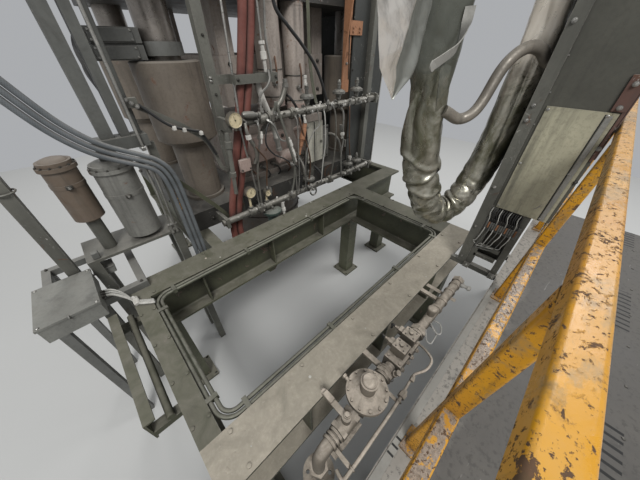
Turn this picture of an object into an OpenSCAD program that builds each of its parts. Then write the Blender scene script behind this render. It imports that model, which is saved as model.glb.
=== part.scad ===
// Low-pressure die casting machine on a pit-mounted base frame, with its service walkway.
// X runs along the girders, Y from the walkway to the press, Z up from the pit floor.

/* [Base frame] */
// Height of the girders' top flange above the pit floor
frame_z = 1350; // [1200:10:1350]
// Depth of the girders
girder_d = 380; // [300:10:450]
// Width of the long girders' flanges
flange_w = 210; // [160:5:240]
// Thickness of the flanges
flange_t = 20; // [12:1:30]
// Thickness of the webs
web_t = 14; // [8:1:20]
// Radius of the fillets between web and flange
root_r = 16; // [8:1:20]
// Clear length of the furnace bay
bay_l = 2170; // [1900:10:2300]
// Clear width of the furnace bay
bay_w = 1050; // [900:10:1150]
// Width of the left end beam
left_end_w = 100; // [80:5:140]
// Width of the right end beam
right_end_w = 200; // [140:5:220]
// Width of the beams under the press's sides
side_beam_w = 100; // [80:5:105]
// Side of the square frame legs
leg_w = 150; // [100:5:180]
// Side of the legs' base plates
foot_w = 260; // [240:5:300]
// Diameter of the conduits round the bay
conduit_d = 22; // [16:1:28]

/* [Press] */
// Length of both platens along X
platen_l = 2600; // [2500:10:2700]
// Depth of the lower platen
platen_w = 1900; // [1800:10:2000]
// Thickness of the platens
platen_t = 180; // [140:5:220]
// Diameter of the tie columns
column_d = 240; // [180:5:280]
// Distance of the column axes from the platen's side edges
column_in_x = 290; // [285:5:330]
// Distance of the column axes from the platen's front and back edges
column_in_y = 350; // [300:5:400]
// Diameter of the stop sleeves' upper barrel
sleeve_d = 480; // [420:10:500]
// Height of the moving platen's underside at rest
open_z = 3000; // [2950:10:3050]
// Height of the crosshead's underside
crosshead_z = 3750; // [3720:10:3850]
// Thickness of the crosshead
crosshead_t = 220; // [180:10:260]
// Diameter of the piston rod
rod_d = 160; // [120:5:200]
// Bore of the clamp cylinder
cylinder_bore = 300; // [240:5:340]
// Thickness of the clamp cylinder's wall
cylinder_wall = 45; // [30:1:60]
// Downward travel from rest to die closing
travel_down = 190; // [100:5:190]
// Upward travel from rest
travel_up = 400; // [200:10:400]
// Length of both dies along X
die_l = 1200; // [900:10:1300]
// Depth of both dies
die_w = 1300; // [900:10:1320]
// Height of the lower die
lower_die_h = 530; // [400:10:530]
// Height of the upper die block
upper_die_h = 380; // [300:10:450]
// Diameter of the wider ejector cylinder in front of the upper die
ejector_d = 220; // [160:5:230]

/* [Pipe rack] */
// Diameter of the manifold pipes
pipe_d = 60; // [48:1:70]
// Height of the lower manifold pipe's axis
lower_pipe_z = 1440; // [1430:5:1470]
// Height of the upper manifold pipe's axis
upper_pipe_z = 2230; // [2150:5:2300]
// Diameter of the upper gauge
gauge_d = 110; // [80:5:120]
// Diameter of the diaphragm valves' bonnets
bonnet_d = 130; // [100:5:150]
// Diameter of the air regulator's bell
bell_d = 190; // [150:5:200]

/* [Walkway] */
// Height of the deck
deck_z = 1360; // [1300:10:1390]
// Length of the walkway
deck_l = 4200; // [4000:50:4400]
// Width of the walkway
deck_w = 800; // [600:10:1000]
// Height of the top rail above the deck
rail_h = 1060; // [950:10:1100]
// Height of the middle rail's top above the deck
mid_h = 480; // [430:10:480]
// Side of the rail's square tube
rail_t = 50; // [40:1:60]
// Rounding of the tube's edges
rail_r = 8; // [4:1:10]
// Outward lean of the rail in degrees
rail_lean = 2.3; // [0:0.1:3]
// Distance between the rail's posts
post_step = 1140; // [1000:10:1400]

/* [Cabinet and boom] */
// Height of the cabinet's underside
cabinet_z = 1880; // [1850:10:1950]
// Height of the cabinet's top
cabinet_top = 3400; // [3300:10:3500]
// Depth of the cabinet along X
cabinet_l = 350; // [260:10:360]
// Diameter of the hose loop's sleeve where it leaves the long arm
loop_d = 260; // [200:10:280]
// Diameter of the hose loop's sleeve where it goes up behind the cabinet
loop_end_d = 175; // [150:5:200]

/* [Gas train] */
// Diameter of the gas pipe
gas_d = 60; // [48:1:70]
// Diameter of the gas regulator's diaphragm case
regulator_d = 200; // [160:5:210]
// Length of the ball valve's lever
lever_l = 155; // [120:5:155]

/* [Hidden] */
$fn = 48;
seat = 0.3;
run_fit = 0.05;
hex = 6;

// The frame's edges
near_y0 = 330;
near_y1 = near_y0 + flange_w;
far_y0 = near_y1 + bay_w;
far_y1 = far_y0 + flange_w;
bay_x0 = -90;
bay_x1 = bay_x0 + bay_l;
frame_x0 = bay_x0 - left_end_w;
near_x1 = bay_x1 + right_end_w;
press_gap = 300;
platen_x0 = 450;
platen_x1 = platen_x0 + platen_l;
far_x1 = platen_x1;
platen_y0 = far_y1 + press_gap;
platen_y1 = platen_y0 + platen_w;
rear_y0 = platen_y1 - 100;
rear_end_y = rear_y0 + flange_w / 2 + max(flange_w, foot_w) / 2;
foot_t = 25;

// The walkway's edges
deck_x0 = -900;
deck_x1 = deck_x0 + deck_l;
deck_plate_t = 10;
deck_beam_d = 180;
deck_beam_w = 60;

// The footprint's middle is the part's origin
middle_x = (deck_x0 + deck_x1) / 2;
middle_y = (rear_end_y - deck_w) / 2;

// Heights in the press
platen_top = frame_z + platen_t;
moving_top = open_z + platen_t;
bushing_h = 120;
bushing_wall = 60;
die_x0 = (platen_x0 + platen_x1 - die_l) / 2;
die_y0 = (platen_y0 + platen_y1 - die_w) / 2;
press_x = (platen_x0 + platen_x1) / 2;
press_y = (platen_y0 + platen_y1) / 2;
crosshead_top = crosshead_z + crosshead_t;
moving_in = 80;
corner_cut = 40;
nut_h = 80;
nut_d = column_d * 1.5;
thread_out = 20;
chamfer = 10;
cylinder_base = 40;
piston_t = 80;
end_gap = 10;
piston_z = crosshead_top + cylinder_base + travel_down + end_gap;
cylinder_in_top = piston_z + piston_t + travel_up + end_gap;
cylinder_top = cylinder_in_top + 40;
upper_die_z = platen_top + lower_die_h + travel_down + end_gap;
column_xs = [platen_x0 + column_in_x, platen_x1 - column_in_x];
column_ys = [platen_y0 + column_in_y, platen_y1 - column_in_y];
sleeve_z = 2080;
sleeve_top = 2620;
sleeve_neck = 60;

// The rack's plane and posts
rack_y = platen_y0 - 170;
post_w = 70;
post_d = 60;
left_post_x = 860;
right_post_x = 2720;
panel_t = 14;
right_post_y1 = platen_y0 - panel_t;

// Places of the cabinet
cabinet_x0 = near_x1 - 480;
cabinet_x1 = cabinet_x0 + cabinet_l;
cabinet_y0 = -75;
cabinet_y1 = 280;
boom_z = cabinet_top;
boom_h = 80;
arm_w = 100;
arm_x = cabinet_x0 + 150;

// Places along the gas train
gas_y = 180;
gas_z = frame_z;
valve_x = 335;
valve_l = 110;
regulator_x = 480;
regulator_end = 590;
block_x0 = 700;
block_l = 200;

// Routes of the hoses, chosen by hand
hose_d = 30;
hose_gap = 3;
bundle_y = 1880;
bundle_top = 2800;
bundle_end = 1060;
bundle_route = [[-236, bundle_top - 2 * seat], [-236, 2760], [-205, 2680], [-144, 2550], [-70, 2408], [0, 2312], [76, 2239],
    [160, 2185], [239, 2140], [305, 2095], [350, 2030], [370, 1925], [374, 1764], [374, 1606], [374, 1400],
    [374, 1200], [374, bundle_end]];
red_d = 62;
red_y = 1998;
red_top = 3250;
red_route = [[1262, red_top], [1262, 3180], [1254, 3060], [1226, 2900], [1190, 2750], [1142, 2562], [1072, 2316],
    [985, 2030], [899, 1758], [838, 1579], [800, 1420], [780, 1287], [775, 1150], [775, bundle_end]];
loop_points = [[-380, 700, 3330], [-380, 700, 3260], [-375, 695, 3000], [-365, 688, 2700], [-350, 680, 2450],
    [-310, 665, 2220], [-255, 645, 2040], [-200, 610, 1890], [-130, 575, 1775], [-40, 530, 1730], [50, 485, 1770],
    [120, 445, 1880], [165, 418, 2050], [190, 403, 2250], [200, 400, 2500], [200, 400, 2850], [200, 400, 3150],
    [200, 400, 3260], [200, 400, 3330]];
loop_route = [for (p = loop_points) p + [cabinet_x0, 0, 0]];
flex_d = 56;
flex_points = [[-362, 572, 2440], [-340, 556, 2428], [-270, 520, 2395], [-227, 480, 2415], [-180, 460, 2472],
    [-120, 445, 2600], [-73, 420, 2667], [-12, 385, 2698], [40, 345, 2687], [74, 312, 2648], [80, 292, 2636],
    [80, cabinet_y1, 2636]];
flex_route = [for (p = flex_points) p + [cabinet_x0, 0, 0]];

// Vector helpers for the hoses
function unit(v) = v / norm(v);
function tangent(p, i) = unit(p[min(i + 1, len(p) - 1)] - p[max(i - 1, 0)]);
function at_ring(d, i) = is_list(d) ? d[i] : d;
function ring(p, i, r, side, n) =
    let (t = tangent(p, i), a = unit(cross(side, t)), b = cross(t, a))
    [for (k = [0 : n - 1]) p[i] + r * (cos(360 * k / n) * a + sin(360 * k / n) * b)];
function beside(route, y, d) =
    [for (i = [0 : len(route) - 1])
        let (t = tangent(route, i))
        [route[i][0] - d * t[1], y, route[i][1] + d * t[0]]];

// A round tube along a list of points, with one diameter or one for each ring
module swept_tube(p, d, side = [0, 1, 0], n = 8) {
    count = len(p);
    points = [for (i = [0 : count - 1]) each ring(p, i, at_ring(d, i) / 2, side, n)];
    walls = [for (i = [0 : count - 2]) for (k = [0 : n - 1])
        [i * n + k, i * n + (k + 1) % n, (i + 1) * n + (k + 1) % n, (i + 1) * n + k]];
    caps = [[for (k = [n - 1 : -1 : 0]) k], [for (k = [0 : n - 1]) (count - 1) * n + k]];
    polyhedron(points, concat(walls, caps), convexity = 6);
}

// A box from its low corner to its high corner
module span(low, high) {
    translate(low)
        cube(high - low);
}

// A cylinder along X, starting at the origin
module rod_x(h, d, n = 48) {
    rotate([0, 90, 0])
        cylinder(h = h, d = d, $fn = n);
}

// A cylinder along Y, starting at the origin
module rod_y(h, d) {
    rotate([-90, 0, 0])
        cylinder(h = h, d = d);
}

// A round bar with chamfered ends
module chamfered_bar(h, d, c) {
    cylinder(h = c, d1 = d - 2 * c, d2 = d);
    translate([0, 0, c])
        cylinder(h = h - 2 * c, d = d);
    translate([0, 0, h - c])
        cylinder(h = c, d1 = d, d2 = d - 2 * c);
}

// A plate with its four upright corners cut off
module slab(low, high, c) {
    translate([0, 0, low[2]])
        linear_extrude(high[2] - low[2])
            polygon([[low[0] + c, low[1]], [high[0] - c, low[1]], [high[0], low[1] + c], [high[0], high[1] - c],
                [high[0] - c, high[1]], [low[0] + c, high[1]], [low[0], high[1] - c], [low[0], low[1] + c]]);
}

// The quarter fillet between a web and a flange
module root_fillet() {
    difference() {
        square([root_r, root_r]);
        translate([root_r, root_r])
            circle(r = root_r);
    }
}

// The section of a rolled girder, its top middle at the origin
module girder_section(w, d) {
    translate([-w / 2, -flange_t])
        square([w, flange_t]);
    translate([-w / 2, -d])
        square([w, flange_t]);
    translate([-web_t / 2, -d])
        square([web_t, d]);
    for (side = [0, 1])
        mirror([side, 0]) {
            translate([web_t / 2, flange_t - d])
                root_fillet();
            translate([web_t / 2, -flange_t])
                mirror([0, 1])
                    root_fillet();
        }
}

module girder_x(x0, x1, y, w) {
    translate([x0, y, frame_z])
        rotate([90, 0, 90])
            linear_extrude(x1 - x0)
                girder_section(w, girder_d);
}

module girder_y(y0, y1, x, w) {
    translate([x, y1, frame_z])
        rotate([90, 0, 0])
            linear_extrude(y1 - y0)
                girder_section(w, girder_d);
}

// A web stiffener's one side, with its inner corners cut for the fillets
module stiffener_half(depth) {
    cut = root_r + 4;
    reach = flange_w / 2 - 6;
    h = girder_d - 2 * flange_t;
    rotate([90, 0, 90])
        linear_extrude(depth)
            polygon([[web_t / 2, cut], [web_t / 2 + cut, 0], [reach, 0], [reach, h], [web_t / 2 + cut, h],
                [web_t / 2, h - cut]]);
}

// Web stiffeners on both sides of a girder that runs along X
module stiffeners(xs, y) {
    for (x = xs)
        for (side = [0, 1])
            translate([x, y, frame_z - girder_d + flange_t])
                mirror([0, side, 0])
                    stiffener_half(12);
}

stiff_xs = [bay_x0 + 345, bay_x0 + bay_l / 2 - 75, bay_x1 - 495];

module near_girder() {
    color("#5b5f4d") {
        girder_x(frame_x0, near_x1, near_y0 + flange_w / 2, flange_w);
        stiffeners(stiff_xs, near_y0 + flange_w / 2);
    }
}

// The gusset hangs from the far girder's lower flange
gusset_x = bay_x0 + 1010;
gusset_h = 140;

module far_girder() {
    color("#585c4a") {
        girder_x(frame_x0, far_x1, far_y0 + flange_w / 2, flange_w);
        stiffeners(stiff_xs, far_y0 + flange_w / 2);
        translate([gusset_x, far_y0 + flange_w / 2 - 6, frame_z - girder_d])
            rotate([90, 0, 0])
                mirror([0, 1, 0])
                    linear_extrude(12)
                        polygon([[-gusset_h, 0], [gusset_h, 0], [30, gusset_h], [-30, gusset_h]]);
    }
}

module left_end_beam() {
    color("#585c4a")
        girder_y(near_y1, far_y0, bay_x0 - left_end_w / 2, left_end_w);
}

module right_end_beam() {
    color("#585c4a")
        girder_y(near_y1, far_y0, bay_x1 + right_end_w / 2, right_end_w);
}

// The side beams run under the platen's edges, just outside the columns' nuts
beam_xs = [platen_x0 + side_beam_w / 2, platen_x1 - side_beam_w / 2];

module press_base_beams() {
    color("#505446") {
        for (x = beam_xs)
            girder_y(far_y1, rear_y0 - seat, x, side_beam_w);
        girder_x(platen_x0, platen_x1, rear_y0 + flange_w / 2, flange_w);
    }
}

leg_in = 100;
leg_places = [
    [frame_x0 + leg_in, near_y0 + flange_w / 2], [near_x1 - leg_in, near_y0 + flange_w / 2],
    [frame_x0 + leg_in, far_y0 + flange_w / 2], [near_x1 - leg_in, far_y0 + flange_w / 2],
    [far_x1 - leg_in, far_y0 + flange_w / 2], [platen_x0 + leg_in, rear_y0 + flange_w / 2],
    [platen_x1 - leg_in, rear_y0 + flange_w / 2]];

// A base plate with its four anchor holes
module base_plate(w, t, hole_d, hole_in) {
    difference() {
        translate([-w / 2, -w / 2, 0])
            cube([w, w, t]);
        for (x = [-1, 1])
            for (y = [-1, 1])
                translate([x * (w / 2 - hole_in), y * (w / 2 - hole_in), -1])
                    cylinder(h = t + 2, d = hole_d);
    }
}

module frame_legs() {
    color("#4c5043")
        for (p = leg_places)
            translate([p[0], p[1], 0]) {
                translate([-leg_w / 2, -leg_w / 2, foot_t])
                    cube([leg_w, leg_w, frame_z - girder_d - foot_t]);
                base_plate(foot_w, foot_t, 22, 20);
            }
}

service_x0 = frame_x0 - 150;
service_y0 = near_y1 + 260;

module service_channel() {
    web_x = frame_x0 + (left_end_w - web_t) / 2;
    color("#55594a") {
        span([service_x0, service_y0, frame_z - 160], [service_x0 + 10, far_y0, frame_z - 10 - seat]);
        span([service_x0, service_y0, frame_z - 10], [service_x0 + 50, far_y0, frame_z]);
        for (y = [service_y0, far_y0 - 60])
            span([service_x0 + 10 + seat, y, frame_z - 140], [web_x - seat, y + 50, frame_z - 100]);
        translate([service_x0 + 95, service_y0, frame_z - 100 + 19])
            rod_y(far_y0 - service_y0, 38);
    }
}

// One conduit round the bay, at a distance from the flanges' edges
module conduit_ring(inset, bend) {
    x0 = bay_x0 + inset;
    x1 = bay_x1 - inset;
    y0 = near_y1 + inset;
    y1 = far_y0 - inset;
    translate([0, 0, frame_z - conduit_d / 2 - 3]) {
        for (y = [y0, y1])
            translate([x0 + bend, y, 0])
                rod_x(x1 - x0 - 2 * bend, conduit_d);
        for (x = [x0, x1])
            translate([x, y0 + bend, 0])
                rod_y(y1 - y0 - 2 * bend, conduit_d);
        for (c = [[x0 + bend, y0 + bend, 180], [x1 - bend, y0 + bend, 270],
                [x1 - bend, y1 - bend, 0], [x0 + bend, y1 - bend, 90]])
            translate([c[0], c[1], 0])
                rotate([0, 0, c[2]])
                    rotate_extrude(angle = 90)
                        translate([bend, 0])
                            circle(d = conduit_d);
    }
}

clip_reach = 2 * conduit_d + 14;
clip_w = 24;
clip_under = 30;
clip_over = 3;

module conduit_loop() {
    color("#6d7260") {
        conduit_ring(conduit_d / 2 + 3, 95);
        conduit_ring(conduit_d * 1.5 + 8, 65);
        for (x = [bay_x0 + 130, bay_x0 + bay_l / 3, bay_x0 + bay_l * 2 / 3, bay_x1 - 130]) {
            span([x, near_y1, frame_z - clip_under], [x + clip_w, near_y1 + clip_reach, frame_z + clip_over]);
            span([x, far_y0 - clip_reach, frame_z - clip_under], [x + clip_w, far_y0, frame_z + clip_over]);
        }
        for (y = [near_y1 + 150, far_y0 - 180]) {
            span([bay_x0, y, frame_z - clip_under], [bay_x0 + clip_reach, y + clip_w, frame_z + clip_over]);
            span([bay_x1 - clip_reach, y, frame_z - clip_under], [bay_x1, y + clip_w, frame_z + clip_over]);
        }
    }
}

module at_columns() {
    for (x = column_xs)
        for (y = column_ys)
            translate([x, y, 0])
                children();
}

riser_d = 220;

module lower_platen() {
    color("#5a5a55")
        difference() {
            slab([platen_x0, platen_y0, frame_z], [platen_x1, platen_y1, platen_top], chamfer);
            at_columns()
                translate([0, 0, frame_z - 1])
                    cylinder(h = platen_t + 2, d = column_d + 2 * seat);
            translate([press_x, press_y, frame_z - 1])
                cylinder(h = platen_t + 2, d = riser_d + 2 * seat);
        }
}

module tie_columns() {
    low = frame_z - nut_h - thread_out;
    color("#8f8880")
        at_columns() {
            translate([0, 0, low])
                chamfered_bar(crosshead_top + nut_h + thread_out - low, column_d, chamfer);
            translate([0, 0, frame_z - nut_h])
                cylinder(h = nut_h, d = nut_d, $fn = hex);
            translate([0, 0, crosshead_top])
                cylinder(h = nut_h, d = nut_d, $fn = hex);
        }
}

module column_sleeves() {
    lower_d = column_d + 70;
    color("#8a8478")
        at_columns()
            difference() {
                union() {
                    translate([0, 0, platen_top])
                        cylinder(h = 30, d = lower_d + 50);
                    translate([0, 0, platen_top])
                        cylinder(h = sleeve_z - sleeve_neck - platen_top, d = lower_d);
                    translate([0, 0, sleeve_z - sleeve_neck])
                        cylinder(h = sleeve_neck, d1 = lower_d, d2 = sleeve_d);
                    translate([0, 0, sleeve_z])
                        cylinder(h = sleeve_top - sleeve_z - chamfer, d = sleeve_d);
                    translate([0, 0, sleeve_top - chamfer])
                        cylinder(h = chamfer, d1 = sleeve_d, d2 = sleeve_d - 2 * chamfer);
                }
                translate([0, 0, platen_top - 1])
                    cylinder(h = sleeve_top - platen_top + 2, d = column_d + 2 * seat);
            }
}

lug_w = 160;
lug_h = 150;
lug_t = 50;

// A lifting lug that stands on its lower edge, across X
module lifting_lug() {
    translate([-lug_t / 2, 0, 0])
        rotate([90, 0, 90])
            linear_extrude(lug_t)
                difference() {
                    union() {
                        translate([-lug_w / 2, 0])
                            square([lug_w, lug_h - lug_w / 2]);
                        translate([0, lug_h - lug_w / 2])
                            circle(d = lug_w);
                    }
                    translate([0, lug_h - lug_w / 2])
                        circle(d = lug_w * 0.45);
                }
}

module crosshead() {
    color("#55564f") {
        difference() {
            slab([platen_x0, platen_y0, crosshead_z], [platen_x1, platen_y1, crosshead_top], corner_cut);
            at_columns()
                translate([0, 0, crosshead_z - 1])
                    cylinder(h = crosshead_t + 2, d = column_d + 2 * seat);
            translate([press_x, press_y, crosshead_z - 1])
                cylinder(h = crosshead_t + 2, d = rod_d + 2 * run_fit);
        }
        for (y = [platen_y0 + lug_w, platen_y1 - lug_w])
            translate([press_x, y, crosshead_top + seat])
                lifting_lug();
    }
}

module clamp_cylinder() {
    outer = cylinder_bore + 2 * cylinder_wall;
    tall = cylinder_top - crosshead_top;
    color("#60635a")
        translate([press_x, press_y, crosshead_top])
            difference() {
                union() {
                    cylinder(h = cylinder_base + 20, d = outer + 120);
                    cylinder(h = tall, d = outer);
                    translate([0, 0, tall - 70])
                        cylinder(h = 70, d = outer + 50);
                    for (z = [cylinder_base + 45, tall - 110])
                        translate([0, 0, z])
                            rod_y(outer / 2 + 35, 70);
                }
                translate([0, 0, cylinder_base])
                    cylinder(h = cylinder_in_top - crosshead_top - cylinder_base,
                        d = cylinder_bore + 2 * run_fit);
                translate([0, 0, -1])
                    cylinder(h = cylinder_base + 2, d = rod_d + 2 * run_fit);
            }
}

module piston_rod() {
    color("#c0c0bc")
        translate([press_x, press_y, 0]) {
            translate([0, 0, moving_top])
                cylinder(h = piston_z - moving_top + piston_t, d = rod_d);
            translate([0, 0, moving_top])
                cylinder(h = 50, d = rod_d + 100);
            translate([0, 0, piston_z])
                cylinder(h = piston_t, d = cylinder_bore);
        }
}

module moving_platen() {
    color("#5a5b55")
        difference() {
            union() {
                slab([platen_x0 + moving_in, platen_y0 + moving_in, open_z],
                    [platen_x1 - moving_in, platen_y1 - moving_in, moving_top], corner_cut);
                at_columns()
                    translate([0, 0, moving_top])
                        cylinder(h = bushing_h, d = column_d + 2 * bushing_wall);
            }
            at_columns()
                translate([0, 0, open_z - 1])
                    cylinder(h = platen_t + bushing_h + 2, d = column_d + 2 * run_fit);
        }
}

ledge_out = 40;
ledge_h = 50;

module lower_die() {
    color("#8c8378") {
        slab([die_x0 - ledge_out, die_y0 - ledge_out, platen_top],
            [die_x0 + die_l + ledge_out, die_y0 + die_w + ledge_out, platen_top + ledge_h], chamfer);
        slab([die_x0, die_y0, platen_top + ledge_h + seat],
            [die_x0 + die_l, die_y0 + die_w, platen_top + lower_die_h], chamfer);
    }
}

// A cylinder that hangs from its top end, with a flange, a head and a round bottom
module hanging_cylinder(h, d) {
    translate([0, 0, -25])
        cylinder(h = 25, d = d + 4);
    translate([0, 0, d / 4 - h])
        cylinder(h = h - d / 4 - 25, d = d);
    translate([0, 0, -h])
        cylinder(h = d / 4, d1 = d * 0.7, d2 = d);
}

ejector_y = die_y0 - ejector_d / 2 - 10;
ejector_h = 820;

module upper_die() {
    pillar = 140;
    color("#988e84") {
        slab([die_x0, die_y0, upper_die_z], [die_x0 + die_l, die_y0 + die_w, upper_die_z + upper_die_h], chamfer);
        for (x = [die_x0 + chamfer, die_x0 + die_l / 2 - pillar / 2, die_x0 + die_l - pillar - chamfer])
            for (y = [die_y0 + chamfer, die_y0 + die_w - pillar - chamfer])
                span([x, y, upper_die_z + upper_die_h + seat], [x + pillar, y + pillar, open_z - seat]);
        translate([press_x - 190, ejector_y, open_z - seat])
            hanging_cylinder(ejector_h - 60, ejector_d);
        translate([press_x + 100, ejector_y, open_z - seat])
            hanging_cylinder(ejector_h, ejector_d * 0.9);
    }
}

furnace_d = 1000;
furnace_z0 = 150;
furnace_top = 1150;
wheel_d = 150;
wheel_t = 50;
truck_z = 90;
wheel_in = 380;
truck_side = 385;

module holding_furnace() {
    color("#6b6459")
        translate([press_x, press_y, 0]) {
            translate([0, 0, furnace_z0])
                cylinder(h = furnace_top - furnace_z0, d = furnace_d);
            for (z = [furnace_z0 + 200, furnace_z0 + 600])
                translate([0, 0, z])
                    cylinder(h = 50, d = furnace_d + 24);
            translate([0, 0, furnace_top - 60])
                cylinder(h = 60, d = furnace_d + 70);
            translate([0, 0, furnace_top])
                cylinder(h = platen_top - furnace_top, d = riser_d);
            translate([0, 0, furnace_top])
                cylinder(h = 40, d = riser_d + 180);
            translate([0, 0, frame_z - 30])
                cylinder(h = 30, d = riser_d + 120);
            span([-wheel_in - 40, -truck_side, truck_z], [wheel_in + 40, truck_side, furnace_z0 - seat]);
            for (x = [-wheel_in, wheel_in])
                for (side = [0, 1])
                    mirror([0, side, 0])
                        translate([x, truck_side + seat, wheel_d / 2])
                            union() {
                                rod_y(wheel_t, wheel_d);
                                rod_y(wheel_t + 15, 60);
                            }
        }
}

post_y0 = platen_y0 - post_d;
clamp_w = 30;
clamp_h = 90;
clamp_t = 14;
rack_x0 = 640;
rack_x1 = right_post_x + post_w + 30;
bar_y0 = rack_y + 10;
bar_z = 2480;
bar_h = 60;
bar_x0 = left_post_x + 160;
bar_x1 = bar_x0 + 375;
bridge_x1 = 1420;
bridge_h = 100;

// A forked clamp that holds a manifold pipe, bored for it
module pipe_clamp(x, y1, z) {
    difference() {
        span([x, rack_y - pipe_d / 2 - clamp_t, z - clamp_h / 2], [x + clamp_w, y1, z + clamp_h / 2]);
        translate([x - 1, rack_y, z])
            rod_x(clamp_w + 2, pipe_d);
    }
}

box_x0 = 1745;
box_w = 220;
box_z0 = 1685;
box_z1 = 2095;
strut_w = 50;

module rack_frame() {
    color("#77776d") {
        pipe_clamp(left_post_x, post_y0 - seat, upper_pipe_z);
        pipe_clamp(right_post_x, right_post_y1 - post_d - seat, upper_pipe_z);
        pipe_clamp(right_post_x, right_post_y1 - post_d - seat, lower_pipe_z);
        pipe_clamp(rack_x0 + 20, platen_y0 - seat, lower_pipe_z);
        span([left_post_x, post_y0, frame_z], [left_post_x + post_w, platen_y0, crosshead_top]);
        span([right_post_x, right_post_y1 - post_d, frame_z], [right_post_x + post_w, right_post_y1, crosshead_z]);
        span([left_post_x + post_w + seat, post_y0, red_top],
            [bridge_x1, platen_y0 - 20, red_top + bridge_h]);
        span([bridge_x1 - 240, rack_y + 30, red_top], [bridge_x1, post_y0 - seat, red_top + bridge_h]);
        span([left_post_x + post_w + seat, post_y0, bar_z], [bar_x1, post_y0 + 12, bar_z + bar_h]);
        for (x = [bar_x0, bar_x1 - 20])
            span([x, bar_y0 + 10 + seat, bar_z], [x + 20, post_y0 - seat, bar_z + bar_h]);
        span([bar_x0, bar_y0, bar_z], [bar_x1, bar_y0 + 10, bar_z + bar_h]);
        span([box_x0 + (box_w - strut_w) / 2, post_y0 + 20, frame_z + 60],
            [box_x0 + (box_w + strut_w) / 2, platen_y0 - seat, box_z1 - 40]);
    }
}

// A flat box with its lid's rim standing out
module rack_box() {
    color("#a9ab9f") {
        span([box_x0 + 8, post_y0 - 25, box_z0 + 8], [box_x0 + box_w - 8, post_y0 + 20 - seat, box_z1 - 8]);
        span([box_x0, post_y0 - 40, box_z0], [box_x0 + box_w, post_y0 - 25 - seat, box_z1]);
    }
}

upper_taps = [1190, 1691, 2120, 2400];
lower_taps = [940, 1120, 1689, 2335, 2500];
tap_h = 60;
tap_d = 34;
bell_x = 1165;

// A pipe union: a hexagon between two collars
module pipe_union(d) {
    rod_x(14, d + 24);
    translate([14, 0, 0])
        rod_x(30, d + 40, hex);
    translate([44, 0, 0])
        rod_x(14, d + 24);
}

module upper_manifold() {
    color("#7d7a70") {
        translate([left_post_x, rack_y, upper_pipe_z])
            rod_x(rack_x1 - 30 - left_post_x, pipe_d);
        for (x = [1240, 1480, 1930, 2560])
            translate([x, rack_y, upper_pipe_z])
                pipe_union(pipe_d);
        for (x = upper_taps)
            translate([x, rack_y, upper_pipe_z])
                cylinder(h = tap_h, d = tap_d);
        for (x = upper_taps)
            translate([x - 35, rack_y, upper_pipe_z])
                rod_x(70, pipe_d + 16);
    }
}

module lower_manifold() {
    color("#7d7a70") {
        translate([rack_x0, rack_y, lower_pipe_z])
            rod_x(rack_x1 - rack_x0, pipe_d);
        for (x = [1000, 1400, 1980])
            translate([x, rack_y, lower_pipe_z])
                pipe_union(pipe_d);
        for (x = lower_taps)
            translate([x, rack_y, lower_pipe_z])
                cylinder(h = tap_h, d = tap_d);
        for (x = lower_taps)
            translate([x - 35, rack_y, lower_pipe_z])
                rod_x(70, pipe_d + 16);
        translate([bell_x, rack_y, lower_pipe_z - 50])
            cylinder(h = 50, d = tap_d + 10);
    }
}

// A valve with a round bonnet, standing on a tap
module diaphragm_valve(h) {
    cylinder(h = 12, d = 52, $fn = hex);
    translate([0, 0, 12])
        cylinder(h = 28, d1 = 48, d2 = 76);
    translate([0, 0, 40])
        cylinder(h = 18, d = bonnet_d);
    translate([0, 0, 58])
        cylinder(h = 16, d1 = bonnet_d * 0.9, d2 = bonnet_d * 0.6);
    translate([0, 0, 74])
        cylinder(h = h, d = 30);
    translate([0, 0, 74 + h - 14])
        cylinder(h = 14, d = 44, $fn = hex);
}

module diaphragm_valves() {
    color("#6f6f66") {
        for (x = [upper_taps[1], upper_taps[2], upper_taps[3]])
            translate([x, rack_y, upper_pipe_z + tap_h])
                diaphragm_valve(50);
        for (x = [lower_taps[2], lower_taps[3], lower_taps[4]])
            translate([x, rack_y, lower_pipe_z + tap_h])
                diaphragm_valve(40);
    }
}

// The regulator hangs bell down under the lower pipe
module air_regulator() {
    color("#4f5f55")
        translate([bell_x, rack_y, lower_pipe_z - 50])
            mirror([0, 0, 1]) {
                cylinder(h = 22, d1 = bell_d * 0.6, d2 = bell_d);
                translate([0, 0, 22])
                    cylinder(h = 24, d = bell_d);
                translate([0, 0, 46])
                    cylinder(h = 50, d1 = bell_d * 0.94, d2 = bell_d * 0.6);
                translate([0, 0, 96])
                    cylinder(h = 100, d = bell_d * 0.58);
                translate([0, 0, 196])
                    cylinder(h = 30, d = bell_d * 0.66);
            }
}

gauge_t = 45;
bezel = 7;

// A gauge that faces the walkway, its back at the origin and its dial set in behind a rim
module gauge(d) {
    rotate([90, 0, 0])
        difference() {
            cylinder(h = gauge_t, d = d);
            translate([0, 0, gauge_t - 4])
                cylinder(h = 5, d = d - 2 * bezel);
        }
}

upper_gauge_x = 910;
upper_gauge_z = upper_pipe_z + 42;
lower_gauge_z = lower_pipe_z + 219;
stem_back = 10;

module pressure_gauges() {
    tap_top = lower_pipe_z + tap_h;
    color("#d8d0b8") {
        translate([upper_gauge_x, rack_y - pipe_d / 2 - clamp_t - seat, upper_gauge_z])
            gauge(gauge_d);
        translate([lower_taps[0], rack_y, tap_top])
            cylinder(h = lower_gauge_z - tap_top, d = 22);
        translate([lower_taps[0], rack_y - stem_back, lower_gauge_z])
            gauge(gauge_d * 0.9);
        translate([lower_taps[1], rack_y, tap_top])
            cylinder(h = 100, d = 18);
        translate([lower_taps[1], rack_y - 8, tap_top + 95])
            gauge(gauge_d * 0.6);
    }
}

module red_hose_a() {
    color("#9c5a4a")
        swept_tube(beside(red_route, red_y, (red_d + hose_gap) / 2), red_d);
}

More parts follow.
